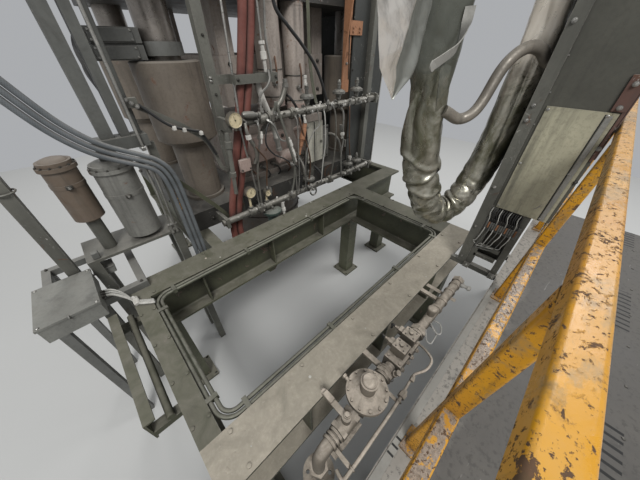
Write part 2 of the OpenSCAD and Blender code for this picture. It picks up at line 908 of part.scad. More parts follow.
module red_hose_b() {
    color("#9c5a4a")
        swept_tube(beside(red_route, red_y, -(red_d + hose_gap) / 2), red_d);
}

guide_x0 = 2340;
guide_w = 105;
guide_z0 = 2300;
guide_t = 14;
guide_leg = 110;

// An angle whose side leg tapers away towards its lower end
module guide_bar() {
    color("#a06a48") {
        span([guide_x0, platen_y0 - guide_t, guide_z0], [guide_x0 + guide_w, platen_y0, crosshead_top]);
        translate([guide_x0, platen_y0 - guide_t, 0])
            rotate([90, 0, 90])
                linear_extrude(guide_t)
                    polygon([[0, guide_z0 + 200], [0, crosshead_top], [-guide_leg, crosshead_top],
                        [-guide_leg, guide_z0 + 900]]);
        span([guide_x0 + guide_w - 40, platen_y0 - 2 * guide_t, 2790],
            [guide_x0 + guide_w + 150, platen_y0 - guide_t, 2900]);
    }
}

guard_x0 = guide_x0 + guide_w + 35;

module guard_panels() {
    color("#5f615c") {
        span([guard_x0, platen_y0 - panel_t, frame_z], [platen_x1 + panel_t, platen_y0, crosshead_top]);
        span([platen_x1, platen_y0 + seat, frame_z], [platen_x1 + panel_t, platen_y1 - 300, crosshead_top]);
    }
}

duct_y0 = 2000;
duct_d = 70;
tank_x = 95;
tank_y = 2050;
tank_d = 225;
tank_z0 = 1560;
tank_top = 2120;
brown_x = -145;
brown_d = 165;
brown_z0 = 1790;
brown_top = 2190;
hood_z0 = 2190;
hood_top = 2260;
duct_top = 3900;

module vertical_ducts() {
    color("#76776f") {
        span([110, duct_y0, hood_top], [180, duct_y0 + duct_d, duct_top]);
        span([215, duct_y0, hood_top], [265, duct_y0 + duct_d, duct_top]);
        translate([315, duct_y0 + duct_d / 2, hood_top])
            cylinder(h = duct_top - hood_top, d = 40);
        span([60, duct_y0 - 25, hood_z0], [350, duct_y0 + 100, hood_top]);
        translate([tank_x, tank_y, tank_top])
            cylinder(h = hood_z0 - tank_top, d = 80);
        span([100, duct_y0 + duct_d + seat, crosshead_z + 40], [platen_x0, platen_y0 + 100, crosshead_z + 100]);
    }
}

// An upright tank with a rim round its lid and a dished bottom
module tank(z0, z1, d) {
    dish = d / 6;
    translate([0, 0, z0])
        cylinder(h = dish, d1 = d * 0.5, d2 = d);
    translate([0, 0, z0 + dish])
        cylinder(h = z1 - z0 - dish, d = d);
    translate([0, 0, z1 - 45])
        cylinder(h = 22, d = d + 24);
}

module separator_tanks() {
    color("#85827a") {
        translate([tank_x, tank_y, 0])
            tank(tank_z0, tank_top, tank_d);
        translate([brown_x, tank_y, 0])
            tank(brown_z0, brown_top, brown_d);
    }
}

stand_x0 = -300;
stand_x1 = 300;
stand_y0 = 1930;
stand_y1 = 2240;
stand_t = 20;
stand_leg = 60;
mast_x0 = -420;

module tank_stand() {
    stand_z = tank_z0 - stand_t;
    color("#4d4f47") {
        span([stand_x0, stand_y0, stand_z], [stand_x1, stand_y1, tank_z0]);
        for (x = [stand_x0, stand_x1 - stand_leg])
            for (y = [stand_y0, stand_y1 - stand_leg])
                span([x, y, 0], [x + stand_leg, y + stand_leg, stand_z - seat]);
        translate([brown_x, tank_y, tank_z0 + seat])
            cylinder(h = brown_z0 - tank_z0 - 2 * seat, d = brown_d * 0.5);
        span([mast_x0, 1950, 0], [mast_x0 + stand_leg, 2010, bundle_top + 80]);
        span([mast_x0 + stand_leg + seat, 1840, bundle_top], [-160, 2010, bundle_top + 80]);
    }
}

junction_x0 = 310;
junction_x1 = 600;
junction_z0 = 2628;
junction_z1 = 2708;
junction_z2 = 2718;
junction_z3 = 2798;
collar_t = 30;

module junction_boxes() {
    color("#6e6f6b")
        difference() {
            union() {
                span([junction_x0, 2330, junction_z0], [junction_x1, 2560, junction_z1]);
                span([junction_x0 + 10, 2340, junction_z1], [junction_x1, 2550, junction_z2]);
                span([junction_x0, 2330, junction_z2], [junction_x1, 2560, junction_z3]);
                translate([column_xs[0], column_ys[0], junction_z0 + 20])
                    cylinder(h = 80, d = column_d + 2 * collar_t);
            }
            translate([column_xs[0], column_ys[0], junction_z0 - 20])
                cylinder(h = junction_z3 - junction_z0 + 40, d = column_d + 2 * seat);
        }
}

bracket_x0 = -600;
bracket_x1 = -60;
bracket_y0 = 1700;
bracket_y1 = 2350;
bracket_t = 50;

module bracket_frame() {
    color("#7a7a72") {
        for (y = [bracket_y0, bracket_y1 - bracket_t])
            span([bracket_x0, y, frame_z], [bracket_x1, y + bracket_t, frame_z + bracket_t]);
        for (x = [bracket_x0, bracket_x1 - bracket_t])
            span([x, bracket_y0 + bracket_t + seat, frame_z],
                [x + bracket_t, bracket_y1 - bracket_t - seat, frame_z + bracket_t]);
        for (y = [bracket_y0, bracket_y1 - bracket_t])
            span([bracket_x0, y, 0], [bracket_x0 + bracket_t, y + bracket_t, frame_z - seat]);
    }
}

terminal_z0 = frame_z + bracket_t;

module terminal_box() {
    color("#8b8c86") {
        span([-590, 1560, terminal_z0], [-310, 1930, terminal_z0 + 105]);
        span([-596, 1554, terminal_z0 + 105 + seat], [-304, 1936, terminal_z0 + 120]);
    }
}

module bundle_hose_a() {
    color("#6b6d68")
        swept_tube(beside(bundle_route, bundle_y, -(hose_d + hose_gap)), hose_d);
}

module bundle_hose_b() {
    color("#6b6d68")
        swept_tube(beside(bundle_route, bundle_y, 0), hose_d);
}

module bundle_hose_c() {
    color("#6b6d68")
        swept_tube(beside(bundle_route, bundle_y, hose_d + hose_gap), hose_d);
}

block_h = 100;

module hose_blocks() {
    color("#55574f") {
        span([305, far_y1, bundle_end - block_h], [440, bundle_y + 50, bundle_end]);
        span([690, far_y1, bundle_end - block_h], [860, red_y + 45, bundle_end]);
    }
}

cap_out = 6;

module cabinet_column() {
    color("#5d615b") {
        span([cabinet_x0, cabinet_y0, cabinet_z], [cabinet_x1, cabinet_y1, cabinet_top - 30 - seat]);
        span([cabinet_x0, cabinet_y0, cabinet_top - 30], [cabinet_x1 + cap_out, cabinet_y1 + cap_out, cabinet_top]);
        for (z = [cabinet_z + 120, cabinet_z + 720, cabinet_z + 1320])
            span([cabinet_x1 + seat, cabinet_y0 + 30, z], [cabinet_x1 + 25, cabinet_y0 + 60, z + 90]);
    }
}

cover_y0 = -36;
cover_y1 = 206;
cover_h = 585;
cover_t = 8;

module cover_panel() {
    color("#8f9686") {
        span([cabinet_x0 - cover_t, cover_y0, cabinet_z], [cabinet_x0, cover_y1, cabinet_z + cover_h]);
        span([cabinet_x0 - 4, cover_y0 - 24, cabinet_z], [cabinet_x0, cover_y0 - seat, cabinet_z + cover_h]);
    }
}

frame_bar = 40;
strip_y0 = 225;
strip_y1 = 285;

module cabinet_frame() {
    bar_top = frame_z + frame_bar / 2;
    color("#4f524c") {
        for (x = [cabinet_x0, cabinet_x1 - frame_bar]) {
            span([x, seat, frame_z - frame_bar / 2], [x + frame_bar, near_y0, bar_top]);
            for (y = [10, 185])
                span([x, y, bar_top + seat], [x + frame_bar, y + frame_bar, cabinet_z]);
            for (y = [0, 175])
                difference() {
                    span([x - 60, y + 10, bar_top + seat], [x - seat, y + 50, bar_top + 8]);
                    translate([x - 40, y + 30, bar_top - 1])
                        cylinder(h = 12, d = 14);
                }
        }
        span([cabinet_x0 - cover_t, strip_y0, bar_top + seat], [cabinet_x0, strip_y1, cabinet_top]);
    }
}

arm_y1 = 760;
long_arm_y0 = 600;
long_arm_x0 = arm_x - 1130;

module sleeve_boom() {
    first = loop_route[0];
    last = loop_route[len(loop_route) - 1];
    color("#6a6d67") {
        span([long_arm_x0, long_arm_y0, boom_z], [arm_x - seat, long_arm_y0 + arm_w, boom_z + boom_h]);
        span([arm_x, 0, boom_z], [arm_x + arm_w, arm_y1, boom_z + boom_h]);
        translate(first)
            cylinder(h = boom_z - seat - first[2], d = loop_d + 10);
        translate(last)
            cylinder(h = boom_z - seat - last[2], d = loop_end_d + 10);
    }
}

// The sleeve narrows evenly from the long arm to the cabinet's arm
function loop_width(i) =
    loop_d - (loop_d - loop_end_d) * min(1, i / (len(loop_points) - 4));

module loop_sleeve() {
    color("#c9cbc8")
        swept_tube(loop_route, [for (i = [0 : len(loop_route) - 1]) loop_width(i)], n = 12);
}

flap_t = 14;

module sleeve_flap() {
    color("#c9cbc8")
        translate([cabinet_x0, long_arm_y0 + 18, 0])
            rotate([90, 0, 0])
                linear_extrude(flap_t)
                    polygon([[-980, boom_z - seat], [-585, boom_z - seat], [-598, 2820], [-690, 2600],
                        [-787, 2527], [-900, 2640], [-958, 2820]]);
}

module flex_conduit() {
    color("#8a8d88")
        swept_tube(flex_route, flex_d, side = [0, 0, 1]);
}

gas_low = 1000;
elbow_r = 75;
gas_x0 = 240;
gas_x1 = cabinet_x0 - 210;

// A round flange with four bolt holes, lying flat
module pipe_flange(d, t, bore_d) {
    difference() {
        cylinder(h = t, d = d);
        for (a = [45 : 90 : 315])
            rotate([0, 0, a])
                translate([(d + bore_d) / 4, 0, -1])
                    cylinder(h = t + 2, d = 18);
    }
}

module gas_pipe() {
    before = valve_x - valve_l / 2;
    after = valve_x + valve_l / 2;
    color("#a8a49a") {
        translate([gas_x0 - elbow_r, gas_y, gas_low + 20])
            cylinder(h = gas_z - elbow_r - gas_low - 20, d = gas_d);
        translate([gas_x0 - elbow_r, gas_y, gas_low])
            pipe_flange(gas_d + 100, 20, gas_d);
        translate([gas_x0 - elbow_r, gas_y, gas_low + 120])
            cylinder(h = 40, d = gas_d + 30, $fn = hex);
        translate([gas_x0, gas_y, gas_z - elbow_r])
            rotate([90, 0, 180])
                rotate_extrude(angle = 90)
                    translate([elbow_r, 0])
                        circle(d = gas_d);
        translate([gas_x0, gas_y, gas_z])
            rod_x(before - gas_x0, gas_d);
        for (x = [gas_x0 - 14, gas_x0 + 6, gas_x0 + 26])
            translate([x, gas_y, gas_z])
                rod_x(12, gas_d + 16);
        translate([after, gas_y, gas_z])
            rod_x(20, gas_d);
        translate([regulator_end, gas_y, gas_z])
            rod_x(block_x0 - regulator_end, gas_d);
        translate([regulator_end + 24, gas_y, gas_z])
            pipe_union(gas_d);
        translate([block_x0 + block_l, gas_y, gas_z])
            rod_x(gas_x1 - block_x0 - block_l, gas_d);
        translate([block_x0 + block_l + 60, gas_y, gas_z])
            pipe_union(gas_d);
        translate([1135, gas_y, gas_z])
            cylinder(h = 70, d = 38);
        translate([1135, gas_y, gas_z + 46])
            cylinder(h = 24, d = 56, $fn = hex);
        translate([gas_x1 - 40, gas_y, gas_z])
            rod_x(40, gas_d + 22, hex);
        for (x = [block_x0 - 50, gas_x1 - 290])
            span([x, gas_y, gas_z - 15], [x + 30, near_y0, gas_z]);
    }
}

stem_d = 20;
stem_h = 100;
hub_z = 55;
hub_d = 44;
hub_h = 24;

module ball_valve() {
    color("#a39f92")
        translate([valve_x, gas_y, gas_z]) {
            translate([-valve_l / 2, 0, 0])
                rod_x(24, 92, hex);
            translate([-valve_l / 2 + 24, 0, 0])
                rod_x(valve_l - 48, 82);
            translate([valve_l / 2 - 24, 0, 0])
                rod_x(24, 92, hex);
            cylinder(h = hub_z, d = hub_d);
            cylinder(h = stem_h, d = stem_d);
        }
}

// The lever is a flat strip with a rounded end
module valve_lever() {
    color("#a8a498")
        translate([valve_x, gas_y, gas_z + hub_z + seat])
            difference() {
                union() {
                    cylinder(h = hub_h, d = hub_d);
                    span([-14, 0, 8], [14, lever_l - 14, 18]);
                    translate([0, lever_l - 14, 8])
                        cylinder(h = 10, d = 28);
                }
                translate([0, 0, -1])
                    cylinder(h = hub_h + 2, d = stem_d + 2 * run_fit);
            }
}

module gas_regulator() {
    body_x0 = valve_x + valve_l / 2 + 20;
    rim = 12;
    color("#a9a69c")
        translate([regulator_x, gas_y, gas_z]) {
            translate([body_x0 - regulator_x, 0, 0])
                rod_x(25, 100, hex);
            translate([body_x0 + 25 - regulator_x, 0, 0])
                rod_x(regulator_end - body_x0 - 50, 96);
            translate([regulator_end - 25 - regulator_x, 0, 0])
                rod_x(25, 100, hex);
            cylinder(h = 72, d = 84);
            translate([0, 0, 66])
                cylinder(h = 2 * rim, d = regulator_d);
            translate([0, 0, 66 + 2 * rim])
                cylinder(h = 18, d1 = regulator_d * 0.8, d2 = 90);
            translate([0, 0, 84 + 2 * rim])
                cylinder(h = 66, d = 72);
            translate([0, 0, 150 + 2 * rim])
                cylinder(h = 14, d = 82);
            for (a = [15 : 30 : 345])
                rotate([0, 0, a])
                    translate([regulator_d / 2 - 11, 0, 56])
                        cylinder(h = 46, d = 13, $fn = hex);
        }
}

coil_w = 62;

// Two solenoid valves side by side on one block
module solenoid_block() {
    mid = block_l / 2;
    color("#9d9a90")
        translate([block_x0, gas_y, gas_z]) {
            difference() {
                span([0, -50, -50], [block_l, 50, 50]);
                span([mid - 8, -51, -51], [mid + 8, -38, 51]);
            }
            for (x = [block_l * 0.3, block_l * 0.78]) {
                translate([x, 0, 50])
                    cylinder(h = 24, d = 46);
                span([x - coil_w / 2, -38, 74], [x + coil_w / 2, 38, 134]);
                translate([x, 0, 134])
                    cylinder(h = 16, d = 24, $fn = hex);
                span([x - 18, 38, 84], [x + 18, 66, 120]);
            }
        }
}

deck_legs = 4;
deck_leg_w = 80;
joists = 5;

module service_deck() {
    beam_z = deck_z - deck_plate_t - deck_beam_d;
    leg_step = (deck_l - deck_leg_w) / (deck_legs - 1);
    color("#85877f") {
        span([deck_x0, -deck_w, deck_z - deck_plate_t], [deck_x1, 0, deck_z]);
        for (y = [-deck_w, -deck_beam_w])
            span([deck_x0, y, beam_z], [deck_x1, y + deck_beam_w, deck_z - deck_plate_t - seat]);
        for (k = [1 : joists])
            span([deck_x0 + k * deck_l / (joists + 1) - 20, deck_beam_w - deck_w + seat, beam_z + 80],
                [deck_x0 + k * deck_l / (joists + 1) + 20, -deck_beam_w - seat, deck_z - deck_plate_t - seat]);
        for (k = [0 : deck_legs - 1])
            for (y = [-deck_w, -deck_leg_w])
                span([deck_x0 + k * leg_step, y, 0], [deck_x0 + k * leg_step + deck_leg_w, y + deck_leg_w,
                    beam_z - seat]);
    }
}

rail_in = 45;
post_foot_t = 8;
first_post = cabinet_x0 - 198;
end_post = deck_x1 - rail_t;
post_xs = concat([for (k = [-5 : 5])
    let (x = first_post + k * post_step)
    if (x > deck_x0 + rail_t && x < end_post - 3 * rail_t) x], [end_post]);

// The rounded square section of the rail's tube, its low corner at the origin
module tube_section() {
    translate([rail_r, 0])
        square([rail_t - 2 * rail_r, rail_t]);
    translate([0, rail_r])
        square([rail_t, rail_t - 2 * rail_r]);
    for (x = [rail_r, rail_t - rail_r])
        for (y = [rail_r, rail_t - rail_r])
            translate([x, y])
                circle(r = rail_r);
}

module tube_x(x0, x1, z) {
    translate([x0, -rail_t, z])
        rotate([90, 0, 90])
            linear_extrude(x1 - x0)
                tube_section();
}

// The rail's own plane leans out over the walkway from the inner edge of its feet
module leaning() {
    translate([0, -rail_in, deck_z])
        rotate([rail_lean, 0, 0])
            children();
}

module guard_rail() {
    color("#d9a92c") {
        leaning() {
            tube_x(deck_x0, deck_x1, rail_h - rail_t);
            for (i = [0 : len(post_xs) - 2])
                tube_x(post_xs[i] + rail_t + seat, post_xs[i + 1] - seat, mid_h - rail_t);
            tube_x(deck_x0, post_xs[0] - seat, mid_h - rail_t);
        }
        for (x = post_xs)
            difference() {
                leaning()
                    translate([x, -rail_t, -rail_t])
                        linear_extrude(rail_h - seat)
                            tube_section();
                span([x - 1, -rail_in - 2 * rail_t, deck_z - 3 * rail_t],
                    [x + rail_t + 1, 0, deck_z + post_foot_t + seat]);
            }
        for (x = post_xs)
            span([max(deck_x0, x - 30), -rail_in - rail_t - 12, deck_z],
                [min(deck_x1, x + rail_t + 30), -rail_in + 12, deck_z + post_foot_t]);
    }
}

// Everything is laid out from the walkway's edge and shifted to the footprint's middle
module placed() {
    translate([-middle_x, -middle_y, 0])
        children();
}

placed() near_girder();
placed() far_girder();
placed() left_end_beam();
placed() right_end_beam();
placed() press_base_beams();
placed() frame_legs();
placed() service_channel();
placed() conduit_loop();
placed() lower_platen();
placed() tie_columns();
placed() column_sleeves();
placed() crosshead();
placed() clamp_cylinder();
placed() piston_rod();
placed() moving_platen();
placed() upper_die();
placed() lower_die();
placed() holding_furnace();
placed() rack_frame();
placed() rack_box();
placed() upper_manifold();
placed() lower_manifold();
placed() diaphragm_valves();
placed() air_regulator();
placed() pressure_gauges();
placed() red_hose_a();
placed() red_hose_b();
placed() guide_bar();
placed() guard_panels();
placed() vertical_ducts();
placed() separator_tanks();
placed() tank_stand();
placed() junction_boxes();
placed() bracket_frame();
placed() terminal_box();
placed() bundle_hose_a();
placed() bundle_hose_b();
placed() bundle_hose_c();
placed() hose_blocks();
placed() cabinet_column();
placed() cover_panel();
placed() cabinet_frame();
placed() sleeve_boom();
placed() loop_sleeve();
placed() sleeve_flap();
placed() flex_conduit();
placed() gas_pipe();
placed() ball_valve();
placed() valve_lever();
placed() gas_regulator();
placed() solenoid_block();
placed() service_deck();
placed() guard_rail();
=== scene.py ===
import math
import random

import bmesh
import bpy
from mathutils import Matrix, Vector, noise


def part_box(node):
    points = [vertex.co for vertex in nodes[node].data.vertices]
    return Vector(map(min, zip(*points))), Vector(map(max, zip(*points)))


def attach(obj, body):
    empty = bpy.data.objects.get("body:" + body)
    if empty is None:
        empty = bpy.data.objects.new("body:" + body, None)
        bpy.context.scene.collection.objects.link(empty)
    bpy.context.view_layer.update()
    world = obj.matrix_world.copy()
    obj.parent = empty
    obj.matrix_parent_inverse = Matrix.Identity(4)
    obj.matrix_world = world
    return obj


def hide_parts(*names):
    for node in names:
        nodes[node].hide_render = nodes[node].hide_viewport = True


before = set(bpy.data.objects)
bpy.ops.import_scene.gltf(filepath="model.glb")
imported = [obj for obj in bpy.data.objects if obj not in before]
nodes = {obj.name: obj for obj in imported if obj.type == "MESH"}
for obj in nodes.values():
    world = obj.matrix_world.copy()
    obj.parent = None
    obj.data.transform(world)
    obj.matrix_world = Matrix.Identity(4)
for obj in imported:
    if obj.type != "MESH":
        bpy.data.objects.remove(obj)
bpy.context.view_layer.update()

scene = bpy.context.scene

# Places are told from the walkway's edge, below the camera, in metres
DECK_LEFT = 0.9
deck_low, deck_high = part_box("service_deck")
BAY = Vector((deck_low.x + DECK_LEFT, deck_high.y, 0.0))


def at(x, y, z):
    return BAY + Vector((x, y, z))


def mm(x, y, z):
    return at(x / 1000, y / 1000, z / 1000)


# Camera
CAMERA_HEIGHT = 2.70
CAMERA_PITCH = math.radians(38.3)
CAMERA_HEADING = math.radians(-43.9)
LENS = 13.78
SENSOR = 36.0
NEAREST = 0.02


def add_camera():
    data = bpy.data.cameras.new("view")
    data.lens = LENS
    data.sensor_width = SENSOR
    data.clip_start = NEAREST
    camera = bpy.data.objects.new("view", data)
    camera.location = at(0, 0, CAMERA_HEIGHT)
    camera.rotation_euler = (math.pi / 2 - CAMERA_PITCH, 0, CAMERA_HEADING)
    scene.collection.objects.link(camera)
    scene.camera = camera


# Materials
def scaled(color, factor):
    return tuple(min(1, c * factor) for c in color)


class Shade:
    """A principled material built node by node."""

    def __init__(self, name):
        self.material = bpy.data.materials.new(name)
        self.material.use_nodes = True
        self.tree = self.material.node_tree
        self.coordinates = self.tree.nodes.new("ShaderNodeTexCoord")
        self.place = self.coordinates.outputs["Object"]

    def put(self, target, value):
        """Links a socket to the target, or sets the target to a plain value."""
        if isinstance(value, bpy.types.NodeSocket):
            self.tree.links.new(value, target)
        elif target.type == "RGBA":
            target.default_value = (*value, 1.0)
        else:
            target.default_value = value

    def node(self, kind, output, settings=(), **inputs):
        """Adds a node, fills its inputs by name, with _ for a space, and gives one output."""
        made = self.tree.nodes.new(kind)
        for key, value in settings:
            setattr(made, key, value)
        for key, value in inputs.items():
            self.put(made.inputs[key.replace("_", " ")], value)
        return made.outputs[output]

    def joined(self, kind, output, operation, values):
        """Adds a node whose inputs share one name, and fills them in order."""
        made = self.tree.nodes.new(kind)
        made.operation = operation
        for target, value in zip(made.inputs, values):
            self.put(target, value)
        return made.outputs[output]

    def math(self, operation, *values):
        return self.joined("ShaderNodeMath", 0, operation, values)

    def times(self, first, second):
        return self.math("MULTIPLY", first, second)

    def plus(self, first, second):
        return self.math("ADD", first, second)

    def minus(self, first, second):
        return self.math("SUBTRACT", first, second)

    def larger(self, first, second):
        return self.math("MAXIMUM", first, second)

    def over(self, value, limit):
        return self.math("GREATER_THAN", value, limit)

    def under(self, value, limit):
        return self.math("LESS_THAN", value, limit)

    def axes(self, vector=None):
        """The X, Y and Z of a vector, or of the place in the part's frame."""
        split = self.tree.nodes.new("ShaderNodeSeparateXYZ")
        self.put(split.inputs[0], self.place if vector is None else vector)
        return split.outputs

    def noise(self, scale, detail, rough, stretch=None, warp=0.0):
        place = self.place
        if stretch:
            place = self.node("ShaderNodeMapping", 0, Vector=place, Scale=stretch)
        return self.node("ShaderNodeTexNoise", "Fac", Vector=place, Scale=scale, Detail=detail,
                         Roughness=rough, Distortion=warp)

    def step(self, value, low, high):
        """A soft step from 0 at low to 1 at high."""
        return self.node("ShaderNodeMapRange", "Result", [("interpolation_type", "SMOOTHSTEP")],
                         Value=value, From_Min=low, From_Max=high)

    def spread(self, value, low, high, to_low, to_high):
        return self.node("ShaderNodeMapRange", "Result", Value=value, From_Min=low, From_Max=high,
                         To_Min=to_low, To_Max=to_high)

    def mix(self, share, first, second, kind="RGBA"):
        return self.node("ShaderNodeMix", "Result", [("data_type", kind)], Factor=share, A=first, B=second)

    def mix_value(self, share, first, second):
        return self.mix(share, first, second, "FLOAT")

    def normal(self):
        return self.node("ShaderNodeNewGeometry", "Normal")

    def upward(self, low=0.35, high=0.9):
        """1 where the surface faces up, 0 on sides."""
        return self.step(self.axes(self.normal())["Z"], low, high)

    def edges(self, radius, low=0.02, high=0.25):
        """1 on sharp edges, from how far a rounded normal turns from the real one."""
        rounded = self.node("ShaderNodeBevel", 0, [("samples", 4)], Radius=radius)
        same = self.joined("ShaderNodeVectorMath", "Value", "DOT_PRODUCT", (rounded, self.normal()))
        return self.step(self.minus(1.0, same), low, high)

    def hollows(self, reach):
        """1 in corners and gaps, 0 in the open, from ambient occlusion: it marks where painted shade goes."""
        openness = self.node("ShaderNodeAmbientOcclusion", "AO", [("samples", 4)], Distance=reach)
        return self.minus(1.0, self.step(openness, 0.3, 0.95))

    def bump(self, height, strength, distance):
        return self.node("ShaderNodeBump", "Normal", Height=height, Strength=strength, Distance=distance)

    def done(self, color, rough, normal=None, metal=0.0):
        shader = self.tree.nodes["Principled BSDF"].inputs
        self.put(shader["Base Color"], color)
        self.put(shader["Roughness"], rough)
        self.put(shader["Metallic"], metal)
        if normal is not None:
            self.put(shader["Normal"], normal)
        return self.material


# Near-black for grime, drips and the painted shade in hollows.
GRIME_AND_SHADE = (0.030, 0.028, 0.024)
SPLASH = (0.58, 0.56, 0.51)


def grimy_paint(name, paint, dust=(0.34, 0.32, 0.28), dusty=0.5, dirty=0.5, worn=0.0, bare=(0.26, 0.24, 0.21),
                rust=0.0, rough=0.55, metal=0.0, scale=1.0, drips=0.4, splashes=0.0, flaky=0.0, browned=None,
                even=0.25):
    """Machine paint or metal with grime and painted shade in its hollows, drips, dust on top, splashes and
    worn edges.
    """
    s = Shade(name)
    broad = s.noise(1.7 * scale, 5, 0.6, warp=0.4)
    blotch = s.noise(8 * scale, 7, 0.66, warp=0.9)
    speckle = s.noise(55 * scale, 5, 0.7)
    grain = s.noise(300, 3, 0.6)
    tone = s.mix(s.spread(broad, 0.3, 0.7, 0.0, 1.0), scaled(paint, 0.66), scaled(paint, 1.22))
    tone = s.mix(s.times(s.step(speckle, 0.48, 0.62), 0.30), tone, scaled(paint, 0.45))
    if browned is not None:
        left = s.under(s.axes()["X"], browned)
        tone = s.mix(s.times(left, s.spread(blotch, 0.3, 0.7, 0.75, 1.0)), tone, (0.125, 0.088, 0.060))
    height = s.plus(s.times(speckle, 0.6), s.times(grain, 0.4))
    if flaky:
        flakes = s.step(blotch, 0.70 - 0.22 * flaky, 0.72 - 0.22 * flaky)
        flakes = s.times(flakes, s.step(speckle, 0.36, 0.40))
        tone = s.mix(flakes, tone, bare)
        height = s.minus(height, s.times(flakes, 0.8))
    if rust:
        rusty = s.times(s.step(blotch, 0.66 - 0.2 * rust, 0.74 - 0.12 * rust), s.step(speckle, 0.3, 0.6))
        tone = s.mix(rusty, tone, s.mix(speckle, (0.075, 0.028, 0.013), (0.30, 0.125, 0.05)))
    streak = s.noise(11 * scale, 6, 0.68, stretch=(1, 1, 0.08))
    dark = s.times(s.step(streak, 0.60 - 0.22 * drips, 0.76), drips)
    dark = s.larger(dark, s.times(s.step(blotch, 0.75 - 0.45 * dirty, 0.85 - 0.1 * dirty), dirty))
    # Painted shade: corners and gaps darken towards the grime colour, from ambient occlusion.
    dark = s.larger(dark, s.times(s.hollows(0.10), 0.40 + 0.6 * dirty))
    tone = s.mix(dark, tone, GRIME_AND_SHADE)
    if worn:
        tone = s.mix(s.times(s.edges(0.007), s.step(speckle, 0.58 - 0.25 * worn, 0.66)), tone, bare)
    laid = s.times(s.times(s.upward(), s.spread(blotch, 0.32, 0.62, even, 1.0)), dusty)
    laid = s.plus(laid, s.times(s.step(speckle, 0.5, 0.8), 0.16 * dusty))
    tone = s.mix(laid, tone, s.mix(speckle, scaled(dust, 0.8), scaled(dust, 1.15)))
    if splashes:
        drops = s.step(s.noise(26, 5, 0.75, warp=1.2), 0.60, 0.66)
        drops = s.times(drops, s.step(s.noise(4, 3, 0.5), 0.62 - 0.3 * splashes, 0.70))
        tone = s.mix(s.times(drops, 0.85), tone, SPLASH)
        height = s.plus(height, drops)
    roughness = s.spread(blotch, 0.3, 0.7, max(0.05, rough - 0.14), min(1.0, rough + 0.18))
    roughness = s.mix_value(laid, roughness, 0.92)
    return s.done(tone, roughness, s.bump(height, 0.28, 0.0018), metal)


TREAD_LIMIT = 2.0  # rails below this height are trodden on


def chipped_yellow(name):
    """Safety yellow, rubbed pale on top, chipped to dark metal, with grime runs and painted shade in the
    corners along its foot.
    """
    s = Shade(name)
    broad = s.noise(3.0, 5, 0.6, warp=0.5)
    fine = s.noise(38, 7, 0.72, warp=0.6)
    pit = s.noise(95, 5, 0.7, warp=0.3)
    patch = s.noise(9, 6, 0.66, warp=1.0)
    tone = s.mix(s.spread(broad, 0.3, 0.7, 0.0, 1.0), (0.47, 0.205, 0.007), (0.62, 0.300, 0.012))
    pale_wear_and_painted_light = s.times(s.upward(0.5, 0.95), s.spread(patch, 0.34, 0.66, 0.05, 0.55))
    tone = s.mix(pale_wear_and_painted_light, tone, (0.50, 0.29, 0.085))
    scuff = s.step(s.noise(14, 6, 0.7, stretch=(0.35, 1, 1), warp=0.8), 0.56, 0.66)
    tone = s.mix(s.times(scuff, 0.55), tone, (0.30, 0.17, 0.035))
    rubbed = s.step(s.noise(5.5, 7, 0.7, stretch=(0.55, 1, 1), warp=0.9), 0.53, 0.60)
    tone = s.mix(s.times(rubbed, s.spread(fine, 0.35, 0.60, 0.25, 0.80)), tone, (0.30, 0.20, 0.085))
    trodden = s.times(s.upward(0.85, 0.98), s.under(s.axes()["Z"], TREAD_LIMIT))
    trodden = s.times(trodden, s.step(s.plus(s.times(patch, 0.45), s.times(fine, 0.55)), 0.465, 0.495))
    bared = s.mix(s.spread(pit, 0.35, 0.65, 0.0, 1.0), (0.15, 0.115, 0.085), (0.40, 0.32, 0.25))
    tone = s.mix(trodden, tone, bared)
    chips = s.larger(s.step(fine, 0.585, 0.600),
                     s.times(s.edges(0.012, 0.01, 0.20), s.step(fine, 0.47, 0.49)))
    chips = s.larger(chips, s.times(s.step(pit, 0.575, 0.60), s.step(patch, 0.40, 0.54)))
    tone = s.mix(chips, tone, s.mix(s.noise(60, 4, 0.6), (0.030, 0.022, 0.016), (0.15, 0.075, 0.032)))
    runs = s.step(s.noise(16, 6, 0.7, stretch=(1, 1, 0.15)), 0.56, 0.72)
    # Painted shade in corners and gaps, from ambient occlusion, together with grime runs.
    tone = s.mix(s.larger(s.times(s.hollows(0.12), 0.75), s.times(runs, 0.45)), tone, (0.085, 0.055, 0.022))
    roughness = s.mix_value(chips, s.spread(patch, 0.3, 0.7, 0.20, 0.50), 0.85)
    return s.done(tone, roughness, s.bump(s.minus(s.times(pit, 0.35), chips), 0.45, 0.0016))


LOOP_MIDDLE = at(1.72, 0.55, 0)


